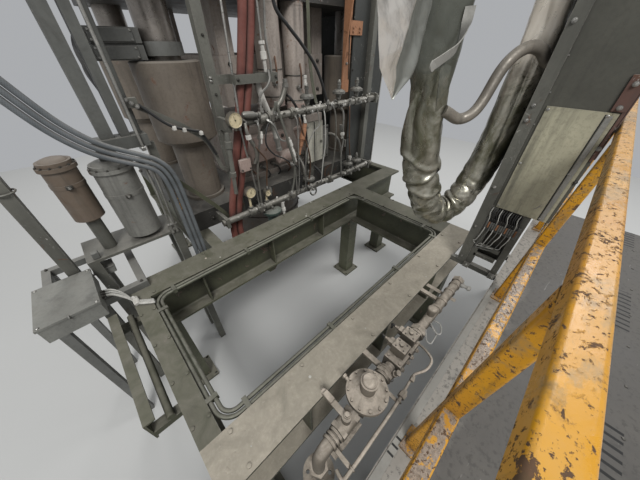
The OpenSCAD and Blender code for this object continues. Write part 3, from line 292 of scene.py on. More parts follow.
def foil_cloth(name, bright, dull, dull_share, metal, sheen_rough, loop=False):
    """Aluminised cloth, dulled and browned in patches; a loop gets painted shadow up its near leg and painted
    light up its far one.
    """
    s = Shade(name)
    wide = s.noise(2.6, 6, 0.66, warp=1.4)
    crumple = s.noise(11, 7, 0.66, warp=1.5)
    rubs = s.noise(24, 6, 0.7, stretch=(1, 1, 0.25), warp=0.8)
    weave = s.noise(420, 2, 0.5)
    tone = s.mix(s.step(wide, 0.62 - 0.30 * dull_share, 0.72 - 0.16 * dull_share), bright, dull)
    tone = s.mix(s.times(s.step(rubs, 0.52, 0.70), 0.35), tone, scaled(dull, 0.45))
    scorch = s.times(s.step(s.noise(4.2, 6, 0.68, warp=0.9), 0.60, 0.74), 0.5)
    tone = s.mix(scorch, tone, (0.17, 0.13, 0.075))
    if loop:
        # On a loop, painted light and shade: the near leg darkens up top as painted shadow, the far leg pales
        # up top as painted light.
        place = s.axes()
        far = s.over(place["X"], LOOP_MIDDLE.x)
        height = s.plus(place["Z"], s.times(s.minus(crumple, 0.5), 0.5))
        pale_wear_and_painted_light = s.times(far, s.step(height, 2.42, 2.72))
        soot_and_painted_shadow = s.times(s.minus(1.0, far), s.step(height, 2.42, 2.66))
        tone = s.mix(pale_wear_and_painted_light, tone, s.mix(wide, (0.66, 0.59, 0.49), (0.95, 0.88, 0.77)))
        tone = s.mix(soot_and_painted_shadow, tone, s.mix(wide, (0.055, 0.058, 0.046), (0.17, 0.175, 0.145)))
        metal = s.minus(metal, s.times(s.larger(pale_wear_and_painted_light, soot_and_painted_shadow), 0.55))
    # Painted shade in the cloth's creases and gaps, from ambient occlusion.
    tone = s.mix(s.times(s.hollows(0.06), 0.80), tone, (0.040, 0.040, 0.032))
    height = s.plus(s.times(crumple, 0.7), s.times(weave, 0.05))
    roughness = s.spread(crumple, 0.3, 0.7, sheen_rough - 0.08, sheen_rough + 0.16)
    return s.done(tone, roughness, s.bump(height, 0.24, 0.008), s.mix_value(scorch, metal, 0.25))


BRAID_WAVES = 260 / 6.3


def braided(name, dark, light, grime=0.35):
    """A braided or ribbed hose, from the lengthwise map that the hoses carry."""
    s = Shade(name)
    waves = []
    for turn in (0.9, -0.9):
        turned = s.node("ShaderNodeMapping", 0, Vector=s.coordinates.outputs["UV"], Rotation=(0, 0, turn))
        bands = [("wave_type", "BANDS"), ("bands_direction", "X")]
        waves.append(s.node("ShaderNodeTexWave", "Fac", bands, Vector=turned, Scale=BRAID_WAVES,
                            Distortion=0.4))
    braid = s.times(*waves)
    broad = s.noise(5, 6, 0.62, warp=0.6)
    spots = s.noise(42, 5, 0.7)
    tone = s.mix(s.spread(broad, 0.3, 0.7, 0, 1), dark, light)
    tone = s.mix(s.times(s.step(braid, 0.02, 0.40), 0.35), tone, scaled(dark, 0.55))
    soot_and_painted_shadow = s.times(s.step(s.noise(9, 6, 0.7, stretch=(1, 1, 0.3), warp=0.7), 0.50, 0.72), grime)
    # Soot streaks, with painted shade in the gaps from ambient occlusion.
    tone = s.mix(s.larger(soot_and_painted_shadow, s.times(s.hollows(0.05), 0.65)), tone, (0.035, 0.03, 0.026))
    tone = s.mix(s.times(s.upward(0.1, 0.8), s.spread(spots, 0.35, 0.65, 0.1, 0.5)), tone, (0.40, 0.37, 0.33))
    height = s.plus(s.times(braid, 0.8), s.times(spots, 0.3))
    return s.done(tone, s.spread(spots, 0.3, 0.7, 0.6, 0.9), s.bump(height, 0.4, 0.0015))


SLOT_PITCH = 0.045
SLOT_ROW = 0.16
SLOT_GROUP = 1.1
SLOTS_END = BAY.y - 0.62
VERGE_FROM = BAY.y - 0.20
VERGE_TO = BAY.y - 0.06


def slotted_deck(name):
    """Worn grey plate with short groups of slots painted near-black as the shade in their holes, and pale
    dirt along the edge next to the pit.
    """
    s = Shade(name)
    place = s.axes()
    x, y = place["X"], place["Y"]

    def beat(value, pitch):
        return s.math("FRACT", s.times(value, 1 / pitch))

    def middle(value, reach):
        return s.under(s.math("ABSOLUTE", s.minus(value, 0.5)), reach)

    slot = s.times(middle(beat(x, SLOT_PITCH), 0.16), middle(beat(y, SLOT_ROW), 0.30))
    slot = s.times(slot, s.upward(0.8, 0.95))
    slot = s.times(slot, s.over(beat(x, SLOT_GROUP), 0.62))
    slot = s.times(slot, s.under(y, SLOTS_END))
    broad = s.noise(2.2, 6, 0.65, warp=0.6)
    spots = s.noise(48, 6, 0.7)
    tone = s.mix(s.spread(broad, 0.3, 0.7, 0, 1), (0.066, 0.061, 0.055), (0.122, 0.114, 0.102))
    ragged = s.plus(y, s.times(s.minus(s.noise(7, 6, 0.65, warp=0.8), 0.5), 0.22))
    tone = s.mix(s.times(s.step(ragged, VERGE_FROM, VERGE_TO), 0.8), tone, (0.33, 0.305, 0.265))
    tone = s.mix(s.times(s.step(spots, 0.52, 0.62), 0.6), tone, (0.055, 0.052, 0.046))
    scratches = s.step(s.noise(30, 6, 0.7, stretch=(0.12, 1, 1), warp=0.5), 0.64, 0.70)
    tone = s.mix(s.times(scratches, 0.5), tone, (0.42, 0.41, 0.38))
    # Painted shade: the slots are not cut, their holes are painted near-black.
    tone = s.mix(slot, tone, (0.012, 0.012, 0.011))
    height = s.minus(s.times(spots, 0.3), slot)
    return s.done(tone, s.spread(broad, 0.3, 0.7, 0.45, 0.75), s.bump(height, 0.5, 0.003), 0.25)


def dial_white(name):
    s = Shade(name)
    stain = s.noise(40, 5, 0.65, warp=0.8)
    tone = s.mix(s.spread(stain, 0.35, 0.7, 0, 1), (0.50, 0.42, 0.26), (0.66, 0.57, 0.38))
    tone = s.mix(s.times(s.step(stain, 0.60, 0.72), 0.4), tone, (0.30, 0.24, 0.15))
    return s.done(tone, s.spread(stain, 0.3, 0.7, 0.25, 0.5), s.bump(stain, 0.08, 0.001))


def make_materials():
    m = {}
    # Two copies of one olive girder paint: the near girder's paler, heavier dust is partly painted light; the
    # darker, less dusty one, on the far girder and the rest of the frame, is partly painted shade.
    m["girder"] = grimy_paint("olive girder paint", (0.078, 0.080, 0.048), dust=(0.21, 0.197, 0.158),
                              dusty=0.68, dirty=0.6, worn=0.5, rust=0.25, flaky=0.3)
    m["dusty_lit_girder"] = grimy_paint("dusty lit olive girder", (0.095, 0.096, 0.062), dust=(0.44, 0.395, 0.32),
                                   dusty=0.92, dirty=0.30, worn=0.5, rust=0.2, flaky=0.3, even=0.66)
    m["conduit"] = grimy_paint("dusty conduit", (0.13, 0.135, 0.095), dirty=0.4, rough=0.42, metal=0.4,
                               scale=3)
    m["platen"] = grimy_paint("platen steel", (0.050, 0.048, 0.043), dusty=0.35, dirty=0.6, worn=0.4,
                              rust=0.3, splashes=0.5)
    m["column"] = grimy_paint("ground column steel", (0.34, 0.305, 0.27), dusty=0.25, dirty=0.40, rough=0.32,
                              metal=0.65)
    m["sleeve"] = grimy_paint("heat stained sleeve paint", (0.18, 0.15, 0.118), dusty=0.4, rust=0.3,
                              flaky=0.3, drips=0.6)
    m["cylinder"] = grimy_paint("cylinder paint", (0.095, 0.10, 0.085), dusty=0.4, drips=0.6)
    # Die steel kept pale: its tone is partly painted light for a die that sits in the press's shade.
    m["die"] = grimy_paint("die steel", (0.40, 0.345, 0.30), dust=(0.52, 0.47, 0.42), dusty=0.6, dirty=0.34,
                           rust=0.25, metal=0.15, drips=0.6, splashes=0.9)
    m["furnace"] = grimy_paint("furnace shell", (0.13, 0.11, 0.092), dusty=0.45, rust=0.55, flaky=0.4)
    m["rack"] = grimy_paint("rack paint", (0.130, 0.128, 0.108), dusty=0.42, dirty=0.55, worn=0.6, rust=0.2,
                            splashes=0.4)
    m["pipe"] = grimy_paint("manifold pipe", (0.20, 0.19, 0.165), dust=(0.42, 0.40, 0.35), dusty=0.65,
                            rough=0.4, metal=0.45, scale=3, splashes=0.9)
    m["valve"] = grimy_paint("cast valve metal", (0.20, 0.195, 0.175), dirty=0.45, rough=0.45, metal=0.5,
                             scale=4, splashes=0.8)
    m["dial"] = dial_white("gauge cream")
    m["needle"] = grimy_paint("needle enamel", (0.02, 0.02, 0.02), dusty=0.0, dirty=0.1, rough=0.4)
    m["case"] = grimy_paint("gauge case steel", (0.36, 0.33, 0.27), dusty=0.3, rough=0.32, metal=0.8, scale=5)
    m["red_hose"] = braided("red fire sleeve", (0.125, 0.036, 0.026), (0.23, 0.080, 0.060))
    m["rust"] = grimy_paint("orange primer", (0.34, 0.160, 0.080), dusty=0.25, dirty=0.35, rust=0.4,
                            rough=0.7, flaky=0.4, bare=(0.13, 0.06, 0.03))
    m["rust_block"] = grimy_paint("rusted block", (0.14, 0.075, 0.058), dirty=0.55, rust=0.35, rough=0.8,
                                  splashes=0.9)
    m["guard"] = grimy_paint("guard grey", (0.038, 0.040, 0.036), dusty=0.25, splashes=0.3)
    # The duct, tank, box and pale lid tones are darkened by about a quarter, partly as painted shade for the
    # shadow over the machine's left side.
    m["duct"] = grimy_paint("duct grey", (0.125, 0.127, 0.115), dusty=0.3, dirty=0.55, drips=0.6, worn=0.3)
    m["tank"] = grimy_paint("tank paint", (0.245, 0.24, 0.215), dusty=0.3, dirty=0.35, rust=0.12, drips=0.6,
                            flaky=0.1, browned=mm(-20, 0, 0)[0])
    m["box"] = grimy_paint("box grey", (0.145, 0.146, 0.134), dusty=0.4, dirty=0.45, worn=0.4)
    m["pale_lid"] = grimy_paint("pale lid enamel", (0.20, 0.20, 0.18), dust=(0.25, 0.24, 0.21), dusty=0.4,
                                dirty=0.55, worn=0.4, drips=0.6)
    m["hose"] = braided("dusty hose rubber", (0.085, 0.095, 0.10), (0.16, 0.17, 0.175), grime=0.25)
    m["black_rubber"] = grimy_paint("black rubber", (0.016, 0.016, 0.016), dusty=0.35, dirty=0.2, rough=0.6,
                                    scale=3)
    m["cabinet"] = grimy_paint("dark cabinet enamel", (0.092, 0.090, 0.072), dusty=0.25, dirty=0.45, worn=0.3,
                               drips=0.6)
    m["cover"] = grimy_paint("grey green enamel", (0.43, 0.405, 0.29), dusty=0.2, dirty=0.35, worn=0.4,
                             drips=0.7, flaky=0.15)
    m["rack_green"] = grimy_paint("rack box enamel", (0.52, 0.50, 0.415), dusty=0.4, dirty=0.34, worn=0.4,
                                  drips=0.6, splashes=0.6)
    m["bell"] = grimy_paint("dark green enamel", (0.050, 0.082, 0.066), dusty=0.4, worn=0.5, splashes=0.4)
    m["foil"] = foil_cloth("aluminised cloth", (0.86, 0.81, 0.74), (0.40, 0.375, 0.34), 0.45, 0.80, 0.32)
    # Loop cloth tinted far darker than the flap's: partly dulled cloth, partly painted shade and dark
    # reflection.
    m["foil_dull_and_shaded"] = foil_cloth("dulled and shaded aluminised cloth", (0.47, 0.45, 0.375), (0.165, 0.16, 0.105), 0.72,
                                0.80, 0.28, loop=True)
    # Painted shade: the flap past its crease faces away from the light, so it takes this darker copy of the
    # cloth.
    m["foil_shaded_side"] = foil_cloth("shaded turned aluminised cloth", (0.31, 0.315, 0.285), (0.20, 0.205, 0.18), 0.5,
                                0.6, 0.45)
    m["pinkish"] = grimy_paint("heat stained enamel", (0.38, 0.285, 0.245), dirty=0.35, rust=0.15, rough=0.6,
                               splashes=0.8)
    m["strap"] = grimy_paint("heat cloth strap", (0.34, 0.33, 0.30), dusty=0.3, dirty=0.35, rough=0.8,
                             scale=6)
    m["flex"] = grimy_paint("flexible conduit grey", (0.225, 0.20, 0.165), dusty=0.25, dirty=0.35, rough=0.45,
                            metal=0.3, scale=3)
    m["gas"] = grimy_paint("dust covered gas fittings", (0.21, 0.18, 0.14), dust=(0.56, 0.49, 0.405),
                           dusty=0.95, dirty=0.4, scale=2, rough=0.8)
    m["deck"] = slotted_deck("slotted deck plate")
    m["edge_steel"] = grimy_paint("pale edge strip", (0.30, 0.295, 0.27), dusty=0.6, worn=0.5, metal=0.3)
    m["yellow"] = chipped_yellow("safety yellow")
    m["bolt"] = grimy_paint("zinc bolts", (0.42, 0.41, 0.38), dusty=0.3, dirty=0.35, rough=0.35, metal=0.8,
                            scale=6)
    m["dark_bolt"] = grimy_paint("oily bolts", (0.07, 0.066, 0.058), dusty=0.3, rough=0.4, metal=0.6, scale=5)
    m["thin_tube"] = grimy_paint("thin steel tube", (0.38, 0.37, 0.34), dusty=0.4, dirty=0.45, rough=0.35,
                                 metal=0.7, scale=4, splashes=0.5)
    m["copper"] = grimy_paint("tarnished copper tube", (0.20, 0.115, 0.075), dusty=0.3, rough=0.4, metal=0.7,
                              scale=4)
    m["white_wire"] = grimy_paint("pale wire cover", (0.50, 0.49, 0.45), dusty=0.2, dirty=0.3, rough=0.6,
                                  scale=6)
    m["plaster"] = grimy_paint("release agent crust", (0.60, 0.58, 0.53), dusty=0.4, dirty=0.25, rough=0.9,
                               scale=8)
    return m


NODE_FINISH = {
    "dusty_lit_girder": ("near_girder",),
    "girder": ("far_girder", "left_end_beam", "right_end_beam", "press_base_beams",
               "frame_legs", "service_channel"),
    "conduit": ("conduit_loop",),
    "platen": ("lower_platen", "crosshead", "moving_platen"),
    "column": ("tie_columns", "piston_rod"),
    "sleeve": ("column_sleeves",),
    "cylinder": ("clamp_cylinder",),
    "die": ("upper_die", "lower_die"),
    "furnace": ("holding_furnace",),
    "rack": ("rack_frame", "tank_stand", "hose_blocks", "cabinet_frame", "sleeve_boom"),
    "pipe": ("upper_manifold", "lower_manifold"),
    "valve": ("diaphragm_valves",),
    "dial": ("pressure_gauges",),
    "red_hose": ("red_hose_a", "red_hose_b"),
    "rust": ("guide_bar",),
    "guard": ("guard_panels",),
    "duct": ("vertical_ducts",),
    "tank": ("separator_tanks",),
    "box": ("junction_boxes", "bracket_frame"),
    "pale_lid": ("terminal_box",),
    "hose": ("bundle_hose_a", "bundle_hose_b", "bundle_hose_c"),
    "cabinet": ("cabinet_column",),
    "cover": ("cover_panel",),
    "rack_green": ("rack_box",),
    "bell": ("air_regulator",),
    "foil": ("loop_sleeve", "sleeve_flap"),
    "flex": ("flex_conduit",),
    "gas": ("gas_pipe", "ball_valve", "valve_lever", "gas_regulator", "solenoid_block"),
    "deck": ("service_deck",),
    "yellow": ("guard_rail",),
}


def dress_nodes(m):
    for finish, names in NODE_FINISH.items():
        for name in names:
            part = nodes[name]
            part.data.materials.clear()
            part.data.materials.append(m[finish])


# Shapes
def smooth_line(points, steps):
    """A smooth line through the points, with steps pieces between each two."""
    points = [Vector(p) for p in points]
    line = []
    for i in range(len(points) - 1):
        before, here = points[max(i - 1, 0)], points[i]
        there, after = points[i + 1], points[min(i + 2, len(points) - 1)]
        for k in range(steps):
            t = k / steps
            curved = 2 * here + (there - before) * t + (2 * before - 5 * here + 4 * there - after) * t * t
            line.append(0.5 * (curved + (3 * here - before - 3 * there + after) * t * t * t))
    return line + [points[-1]]


def frames_along(line, start_side=None):
    """A side and a rise for each point of the line, turned as little as can be."""
    out = []
    side = None
    for i in range(len(line)):
        ahead = (line[min(i + 1, len(line) - 1)] - line[max(i - 1, 0)]).normalized()
        if side is None:
            side = start_side or ahead.orthogonal()
        side = (side - ahead * side.dot(ahead)).normalized()
        out.append((side, ahead.cross(side)))
    return out


def runs(line):
    """How far along the line each of its points lies."""
    run = [0.0]
    for before, after in zip(line, line[1:]):
        run.append(run[-1] + (after - before).length)
    return run


def circle(middle, side, rise, radius, sides):
    turns = [2 * math.pi * k / sides for k in range(sides)]
    return [middle + (side * math.cos(a) + rise * math.sin(a)) * radius for a in turns]


def skin(rings, sides):
    """The faces between each ring of points and the next."""
    return [[r * sides + k, r * sides + (k + 1) % sides, (r + 1) * sides + (k + 1) % sides,
             (r + 1) * sides + k]
            for r in range(rings - 1) for k in range(sides)]


def caps(rings, sides):
    """The two faces that close the first ring and the last."""
    last = (rings - 1) * sides
    return [list(range(sides))[::-1], list(range(last, last + sides))]


def placed(name, data, body):
    """Puts a mesh into the scene as a piece that rides on a body."""
    made = bpy.data.objects.new(name, data)
    scene.collection.objects.link(made)
    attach(made, body)
    return made


SMOOTH_ANGLE = math.radians(38)  # edges that turn more than this stay sharp


class Form:
    """Gathers many small solids into one piece, told in the bay's millimetres."""

    def __init__(self, name, body="machine"):
        self.name = name
        self.body = body
        self.mesh = bmesh.new()
        self.finishes = []

    def add(self, points, faces, finish):
        if finish not in self.finishes:
            self.finishes.append(finish)
        made = [self.mesh.verts.new(mm(*p)) for p in points]
        for face in faces:
            drawn = self.mesh.faces.new([made[k] for k in face])
            drawn.material_index = self.finishes.index(finish)

    def block(self, low, high, finish, edge=1.5):
        """A block with chamfered edges."""
        low, high = Vector(low), Vector(high)
        middle, half = (low + high) / 2, (high - low) / 2
        edge = min(edge, min(half) * 0.6)
        corners = [(x, y, z) for x in (-1, 1) for y in (-1, 1) for z in (-1, 1)]
        points, index = [], {}
        for corner in corners:
            for axis in range(3):
                spot = Vector([corner[k] * (half[k] if k == axis else half[k] - edge) for k in range(3)])
                index[corner, axis] = len(points)
                points.append(middle + spot)
        faces = []
        for axis in range(3):
            first, second = [k for k in range(3) if k != axis]
            for sign in (-1, 1):
                ring = []
                for a, b in ((-1, -1), (1, -1), (1, 1), (-1, 1)):
                    corner = [0, 0, 0]
                    corner[axis], corner[first], corner[second] = sign, a, b
                    ring.append(index[tuple(corner), axis])
                faces.append(ring)
            for a in (-1, 1):
                for b in (-1, 1):
                    ends = []
                    for sign in (-1, 1):
                        corner = [0, 0, 0]
                        corner[axis], corner[first], corner[second] = sign, a, b
                        ends.append(tuple(corner))
                    faces.append([index[ends[0], first], index[ends[1], first], index[ends[1], second],
                                  index[ends[0], second]])
        for corner in corners:
            faces.append([index[corner, axis] for axis in range(3)])
        self.add(points, faces, finish)

    def turned(self, base, axis, profile, finish, sides=20, closed=True):
        """A turned solid, from pairs of a distance along its axis and a radius."""
        base, axis = Vector(base), Vector(axis).normalized()
        side = axis.orthogonal().normalized()
        rise = axis.cross(side)
        points = []
        for along, radius in profile:
            points += circle(base + axis * along, side, rise, max(radius, 0.05), sides)
        ends = caps(len(profile), sides) if closed else []
        self.add(points, skin(len(profile), sides) + ends, finish)

    def rod(self, start, end, radius, finish, sides=12):
        start, end = Vector(start), Vector(end)
        self.turned(start, end - start, [(0, radius), ((end - start).length, radius)], finish, sides)

    def nut(self, place, axis, size, finish, tall=0.8):
        """A hexagon with chamfered corners on a washer."""
        place, axis = Vector(place), Vector(axis).normalized()
        self.turned(place, axis, [(0, size * 1.2), (size * 0.15, size * 1.2)], finish, 14)
        self.turned(place + axis * size * 0.15, axis,
                    [(0, size), (size * tall, size), (size * (tall + 0.12), size * 0.86)], finish, 6)

    def bolt(self, place, axis, size, finish):
        """A nut with the end of its bolt standing out."""
        self.nut(place, axis, size, finish)
        axis = Vector(axis).normalized()
        self.turned(Vector(place) + axis * size * 1.05, axis,
                    [(0, size * 0.5), (size * 0.45, size * 0.5), (size * 0.55, size * 0.4)], finish, 10)

    def tube(self, points, radius, finish, sides=8, steps=5):
        """A round tube along a smooth line."""
        line = smooth_line(points, steps)
        rings = []
        for middle, (side, rise) in zip(line, frames_along(line)):
            rings += circle(middle, side, rise, radius, sides)
        self.add(rings, skin(len(line), sides) + caps(len(line), sides), finish)

    def hoop(self, centre, axis, radius, wire, finish, sides, wire_sides):
        """A round ring of round wire."""
        centre, axis = Vector(centre), Vector(axis).normalized()
        side = axis.orthogonal().normalized()
        rise = axis.cross(side)
        points = []
        for i in range(sides):
            a = 2 * math.pi * i / sides
            out = side * math.cos(a) + rise * math.sin(a)
            for k in range(wire_sides):
                b = 2 * math.pi * k / wire_sides
                points.append(centre + out * (radius + wire * math.cos(b)) + axis * wire * math.sin(b))
        faces = [[i * wire_sides + k, i * wire_sides + (k + 1) % wire_sides,
                  ((i + 1) % sides) * wire_sides + (k + 1) % wire_sides, ((i + 1) % sides) * wire_sides + k]
                 for i in range(sides) for k in range(wire_sides)]
        self.add(points, faces, finish)

    def strip(self, points, across, width, thick, finish, steps=6):
        """A flat bent strip; across is the way its width runs."""
        line = smooth_line(points, steps)
        across = Vector(across).normalized()
        ring = []
        for i, point in enumerate(line):
            ahead = (line[min(i + 1, len(line) - 1)] - line[max(i - 1, 0)]).normalized()
            wide = (across - ahead * across.dot(ahead)).normalized()
            up = ahead.cross(wide)
            for a, b in ((-1, -1), (1, -1), (1, 1), (-1, 1)):
                ring.append(point + wide * a * width / 2 + up * b * thick / 2)
        self.add(ring, skin(len(line), 4) + caps(len(line), 4), finish)

    def done(self):
        bmesh.ops.recalc_face_normals(self.mesh, faces=self.mesh.faces)
        data = bpy.data.meshes.new(self.name)
        self.mesh.to_mesh(data)
        self.mesh.free()
        for finish in self.finishes:
            data.materials.append(materials[finish])
        for polygon in data.polygons:
            polygon.use_smooth = True
        data.set_sharp_from_angle(angle=SMOOTH_ANGLE)
        return placed(self.name, data, self.body)


# Hoses
def hose(name, line, radius, finish, sides):
    """A hose along a line in metres, with a map that runs along and around it."""
    run = runs(line)
    points = []
    for middle, (side, rise) in zip(line, frames_along(line)):
        points += circle(middle, side, rise, radius, sides)
    faces = skin(len(line), sides)
    count = len(faces)
    data = bpy.data.meshes.new(name)
    data.from_pydata(points, [], faces + caps(len(line), sides))
    uv = data.uv_layers.new(name="run")
    for number, polygon in enumerate(data.polygons):
        polygon.use_smooth = number < count
        if number >= count:
            continue
        i, k = divmod(number, sides)
        spots = ((i, k), (i, k + 1), (i + 1, k + 1), (i + 1, k))
        for loop, (ring, turn) in zip(polygon.loop_indices, spots):
            uv.data[loop].uv = (turn / sides * 2 * math.pi * radius, run[ring])
    data.materials.append(materials[finish])
    return placed(name, data, "machine")


def beside(route, y, offset):
    """A route beside another in one plane, the offset away from it, as in the part's source."""
    out = []
    for i, (x, z) in enumerate(route):
        before, after = route[max(i - 1, 0)], route[min(i + 1, len(route) - 1)]
        step = Vector((after[0] - before[0], after[1] - before[1])).normalized()
        out.append((x - offset * step[1], y, z + offset * step[0]))
    return out


HOSE_D = 30
HOSE_GAP = 3
BUNDLE_Y = 1880
HOSE_END = 1060
BUNDLE_ROUTE = [(-236, 2799.4), (-236, 2760), (-205, 2680), (-144, 2550), (-70, 2408), (0, 2312), (76, 2239),
                (160, 2185), (239, 2140), (305, 2095), (350, 2030), (370, 1925), (374, 1764), (374, 1606),
                (374, 1400),
                (374, 1200), (374, HOSE_END)]
RED_D = 62
RED_Y = 1998
RED_ROUTE = [(1262, 3250), (1262, 3180), (1254, 3060), (1226, 2900), (1190, 2750), (1142, 2562), (1072, 2316),
             (985, 2030), (899, 1758), (838, 1579), (800, 1420), (780, 1287), (775, 1150), (775, HOSE_END)]
FLEX_D = 56
CABINET_X = 1800
FLEX_ROUTE = [(-362, 572, 2440), (-340, 556, 2428), (-270, 520, 2395), (-227, 480, 2415), (-180, 460, 2472),
              (-120, 445, 2600), (-73, 420, 2667), (-12, 385, 2698), (40, 345, 2687), (74, 312, 2648),
              (80, 292, 2636),
              (80, 280, 2636)]


def add_hose(name, points, diameter, finish, sides):
    """A hose skin that stands in for the CAD's hose, which it hides."""
    line = smooth_line([mm(*p) for p in points], 6)
    made = hose(name + "_skin", line, diameter / 2000, finish, sides)
    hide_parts(name)


def add_hoses():
    spread = HOSE_D + HOSE_GAP
    for name, offset in (("bundle_hose_a", -spread), ("bundle_hose_b", 0), ("bundle_hose_c", spread)):
        route = beside(BUNDLE_ROUTE, BUNDLE_Y, offset)
        add_hose(name, route, HOSE_D, "hose", 16)
    apart = (RED_D + HOSE_GAP) / 2
    for name, offset in (("red_hose_a", apart), ("red_hose_b", -apart)):
        add_hose(name, beside(RED_ROUTE, RED_Y, offset), RED_D, "red_hose", 20)
    route = [(CABINET_X + x, y, z) for x, y, z in FLEX_ROUTE]
    add_hose("flex_conduit", route, FLEX_D, "flex", 20)


# Heat cloth
def wave(value):
    """A creased fold, from -1 to 1."""
    return 2 * abs(2 * (value - math.floor(value)) - 1) ** 0.8 - 1


def crumple(place, size, seed):
    """Flat facets that meet in creases, about size across, from -1 to 1."""
    total = 0.0
    for k in range(3):
        way = Vector((math.sin(seed + 2.1 * k), math.cos(seed * 1.7 + 1.3 * k),
                      math.sin(seed * 0.6 + 2.9 * k)))
        way.normalize()
        bend = noise.noise(place / (size * 2.2) + Vector((seed, k * 7.0, 0))) * 1.6
        total += wave(place.dot(way) / size + bend + 0.37 * k)
    return total / 3


CREASE_ANGLE = math.radians(50)


def cloth(name, rows, columns, place, finishes, pick):
    """A cloth from a function of how far across and how far down, each from 0 to 1."""
    points = [place(c / columns, r / rows) for r in range(rows + 1) for c in range(columns + 1)]
    wide = columns + 1
    faces = [[r * wide + c, r * wide + c + 1, (r + 1) * wide + c + 1, (r + 1) * wide + c]
             for r in range(rows) for c in range(columns)]
    data = bpy.data.meshes.new(name)
    data.from_pydata(points, [], faces)
    for finish in finishes:
        data.materials.append(materials[finish])
    for number, polygon in enumerate(data.polygons):
        r, c = divmod(number, columns)
        polygon.use_smooth = True
        polygon.material_index = pick((c + 0.5) / columns, (r + 0.5) / rows)
    data.set_sharp_from_angle(angle=CREASE_ANGLE)
    return placed(name, data, "machine")


LOOP_D = 260
LOOP_END_D = 175
LOOP_ROUTE = [(-380, 700, 3330), (-380, 700, 3260), (-375, 695, 3000), (-365, 688, 2700), (-350, 680, 2450),
              (-310, 665, 2220), (-255, 645, 2040), (-200, 610, 1890), (-130, 575, 1775), (-40, 530, 1730),
              (50, 485, 1770),
              (120, 445, 1880), (165, 418, 2050), (190, 403, 2250), (200, 400, 2500), (200, 400, 2850),
              (200, 400, 3150),
              (200, 400, 3260), (200, 400, 3330)]
PINCH_Z = 2480
CONDUIT_END = Vector((1438, 572, 2440))
GATHER_ANGLE = math.radians(108)
SLACK = 0.93  # the plain sleeve's radius as a share of its full one
MOST_OUT = 6


def bump_at(value, centre, spread):
    return math.exp(-((value - centre) / spread) ** 2)


def add_loop_cloth():
    """The sleeve: gathered at its pinch, swagged below it, crushed in its bend and pleated up the far leg."""
    centre = smooth_line([(CABINET_X + x, y, z) for x, y, z in LOOP_ROUTE], 24)
    rings = frames_along(centre, Vector((0, -1, 0)))
    run = runs(centre)
    total = run[-1]
    lowest = min(range(len(centre)), key=lambda i: centre[i].z)
    bottom = run[lowest]
    pinch = run[min(range(lowest), key=lambda i: abs(centre[i].z - PINCH_Z))]
    last = len(centre) - 1
    gather = pinch - 45

    def spot(across, down):
        exact = down * last
        i = min(int(exact), last - 1)
        t = exact - i
        middle = centre[i].lerp(centre[i + 1], t)
        side = rings[i][0].lerp(rings[i + 1][0], t)
        rise = rings[i][1].lerp(rings[i + 1][1], t)
        s = run[i] + (run[i + 1] - run[i]) * t
        a = 2 * math.pi * across
        share = min(1.0, s / (total * 0.92))
        full = (LOOP_D + (LOOP_END_D - LOOP_D) * share) / 2
        radius = full * SLACK
        out = side * math.cos(a) + rise * math.sin(a)
        ends = min(1.0, min(s, total - s) / 160)
        near_pinch = bump_at(s, pinch, 120)
        below = bump_at(s, pinch + 260, 210)
        bend = bump_at(s, bottom, 330)
        far_leg = min(1.0, max(0.0, (s - bottom - 330) / 300))
        depth = -0.24 * near_pinch * radius
        depth += near_pinch * 9 * wave(6 * across + 0.25 * math.sin(s / 90))
        depth += below * 8 * wave(3 * across + s / 620 + 0.15 * math.sin(s / 110))
        for swag_s, tilt, tall in ((pinch + 330, 46, 17), (pinch + 430, -38, 15), (pinch + 545, 30, 12)):
            line = swag_s + tilt * math.cos(a + 0.6) + 16 * math.sin(2.3 * a)
            depth += tall * (bump_at(s, line, 17) - 0.75 * bump_at(s, line + 40, 26))
        inner = 0.5 + 0.5 * out.dot(Vector((0, 0, 1)))
        turn = (s - bottom) / 84 + 0.16 * math.sin(a + 1) + 0.42 * noise.noise(Vector((s / 120, a * 0.9, 3)))
        uneven = 0.8 + 0.6 * noise.noise(Vector((s / 90, a, 8)))
        depth += bend * (15 + 13 * inner) * (abs(math.sin(math.pi * turn)) ** 0.6 - 0.86) * uneven
        girth = radius * math.remainder(a - GATHER_ANGLE, 2 * math.pi)
        fan = math.atan2(girth, s - gather)
        reach = math.hypot(girth, s - gather)
        gathers = (abs(math.sin(3.4 * fan + 0.4)) ** 0.6 - 0.6) * (1 if s > gather else 0.3)
        depth += 13 * math.exp(-((reach - 210) / 170) ** 2) * gathers - 22 * math.exp(-(reach / 60) ** 2)
        depth += far_leg * 11 * wave(4 * across + s / 1500 + 0.10 * math.sin(s / 160))
        depth += far_leg * 2 * wave(9 * across - s / 900)
        upper = 1.0 - min(1.0, max(0.0, (s - 100) / max(pinch - 100, 1)))
        depth += upper * 8 * wave(5 * across + 0.2 * math.sin(s / 140))
        plain = middle + out * radius
        depth += 4.5 * crumple(plain, 150, 1.3) + (0.6 + 1.6 * bend) * crumple(plain, 48, 4.1)
        joint = math.exp(-((plain - CONDUIT_END).length / 85) ** 2)
        depth += joint * (3 - depth)
        sag = Vector((0, 0, -7 * bend if bend > 0.02 else 0))
        return mm(*(middle + out * min(radius + ends * depth, full + MOST_OUT) + sag))

    made = cloth("loop_sleeve_cloth", 420, 96, spot, ["foil_dull_and_shaded"], lambda c, r: 0)
    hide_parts("loop_sleeve")
    return made


FLAP_LEFT = [(3399, 820), (2820, 842), (2640, 900), (2527, 1013)]
FLAP_RIGHT = [(3399, 1215), (2820, 1202), (2600, 1110), (2527, 1013)]
FLAP_Y = 611


def along(pairs, z):
    for (z1, x1), (z0, x0) in zip(pairs, pairs[1:]):
        if z >= z0:
            return x0 + (x1 - x0) * (z - z0) / (z1 - z0)
    return pairs[-1][1]


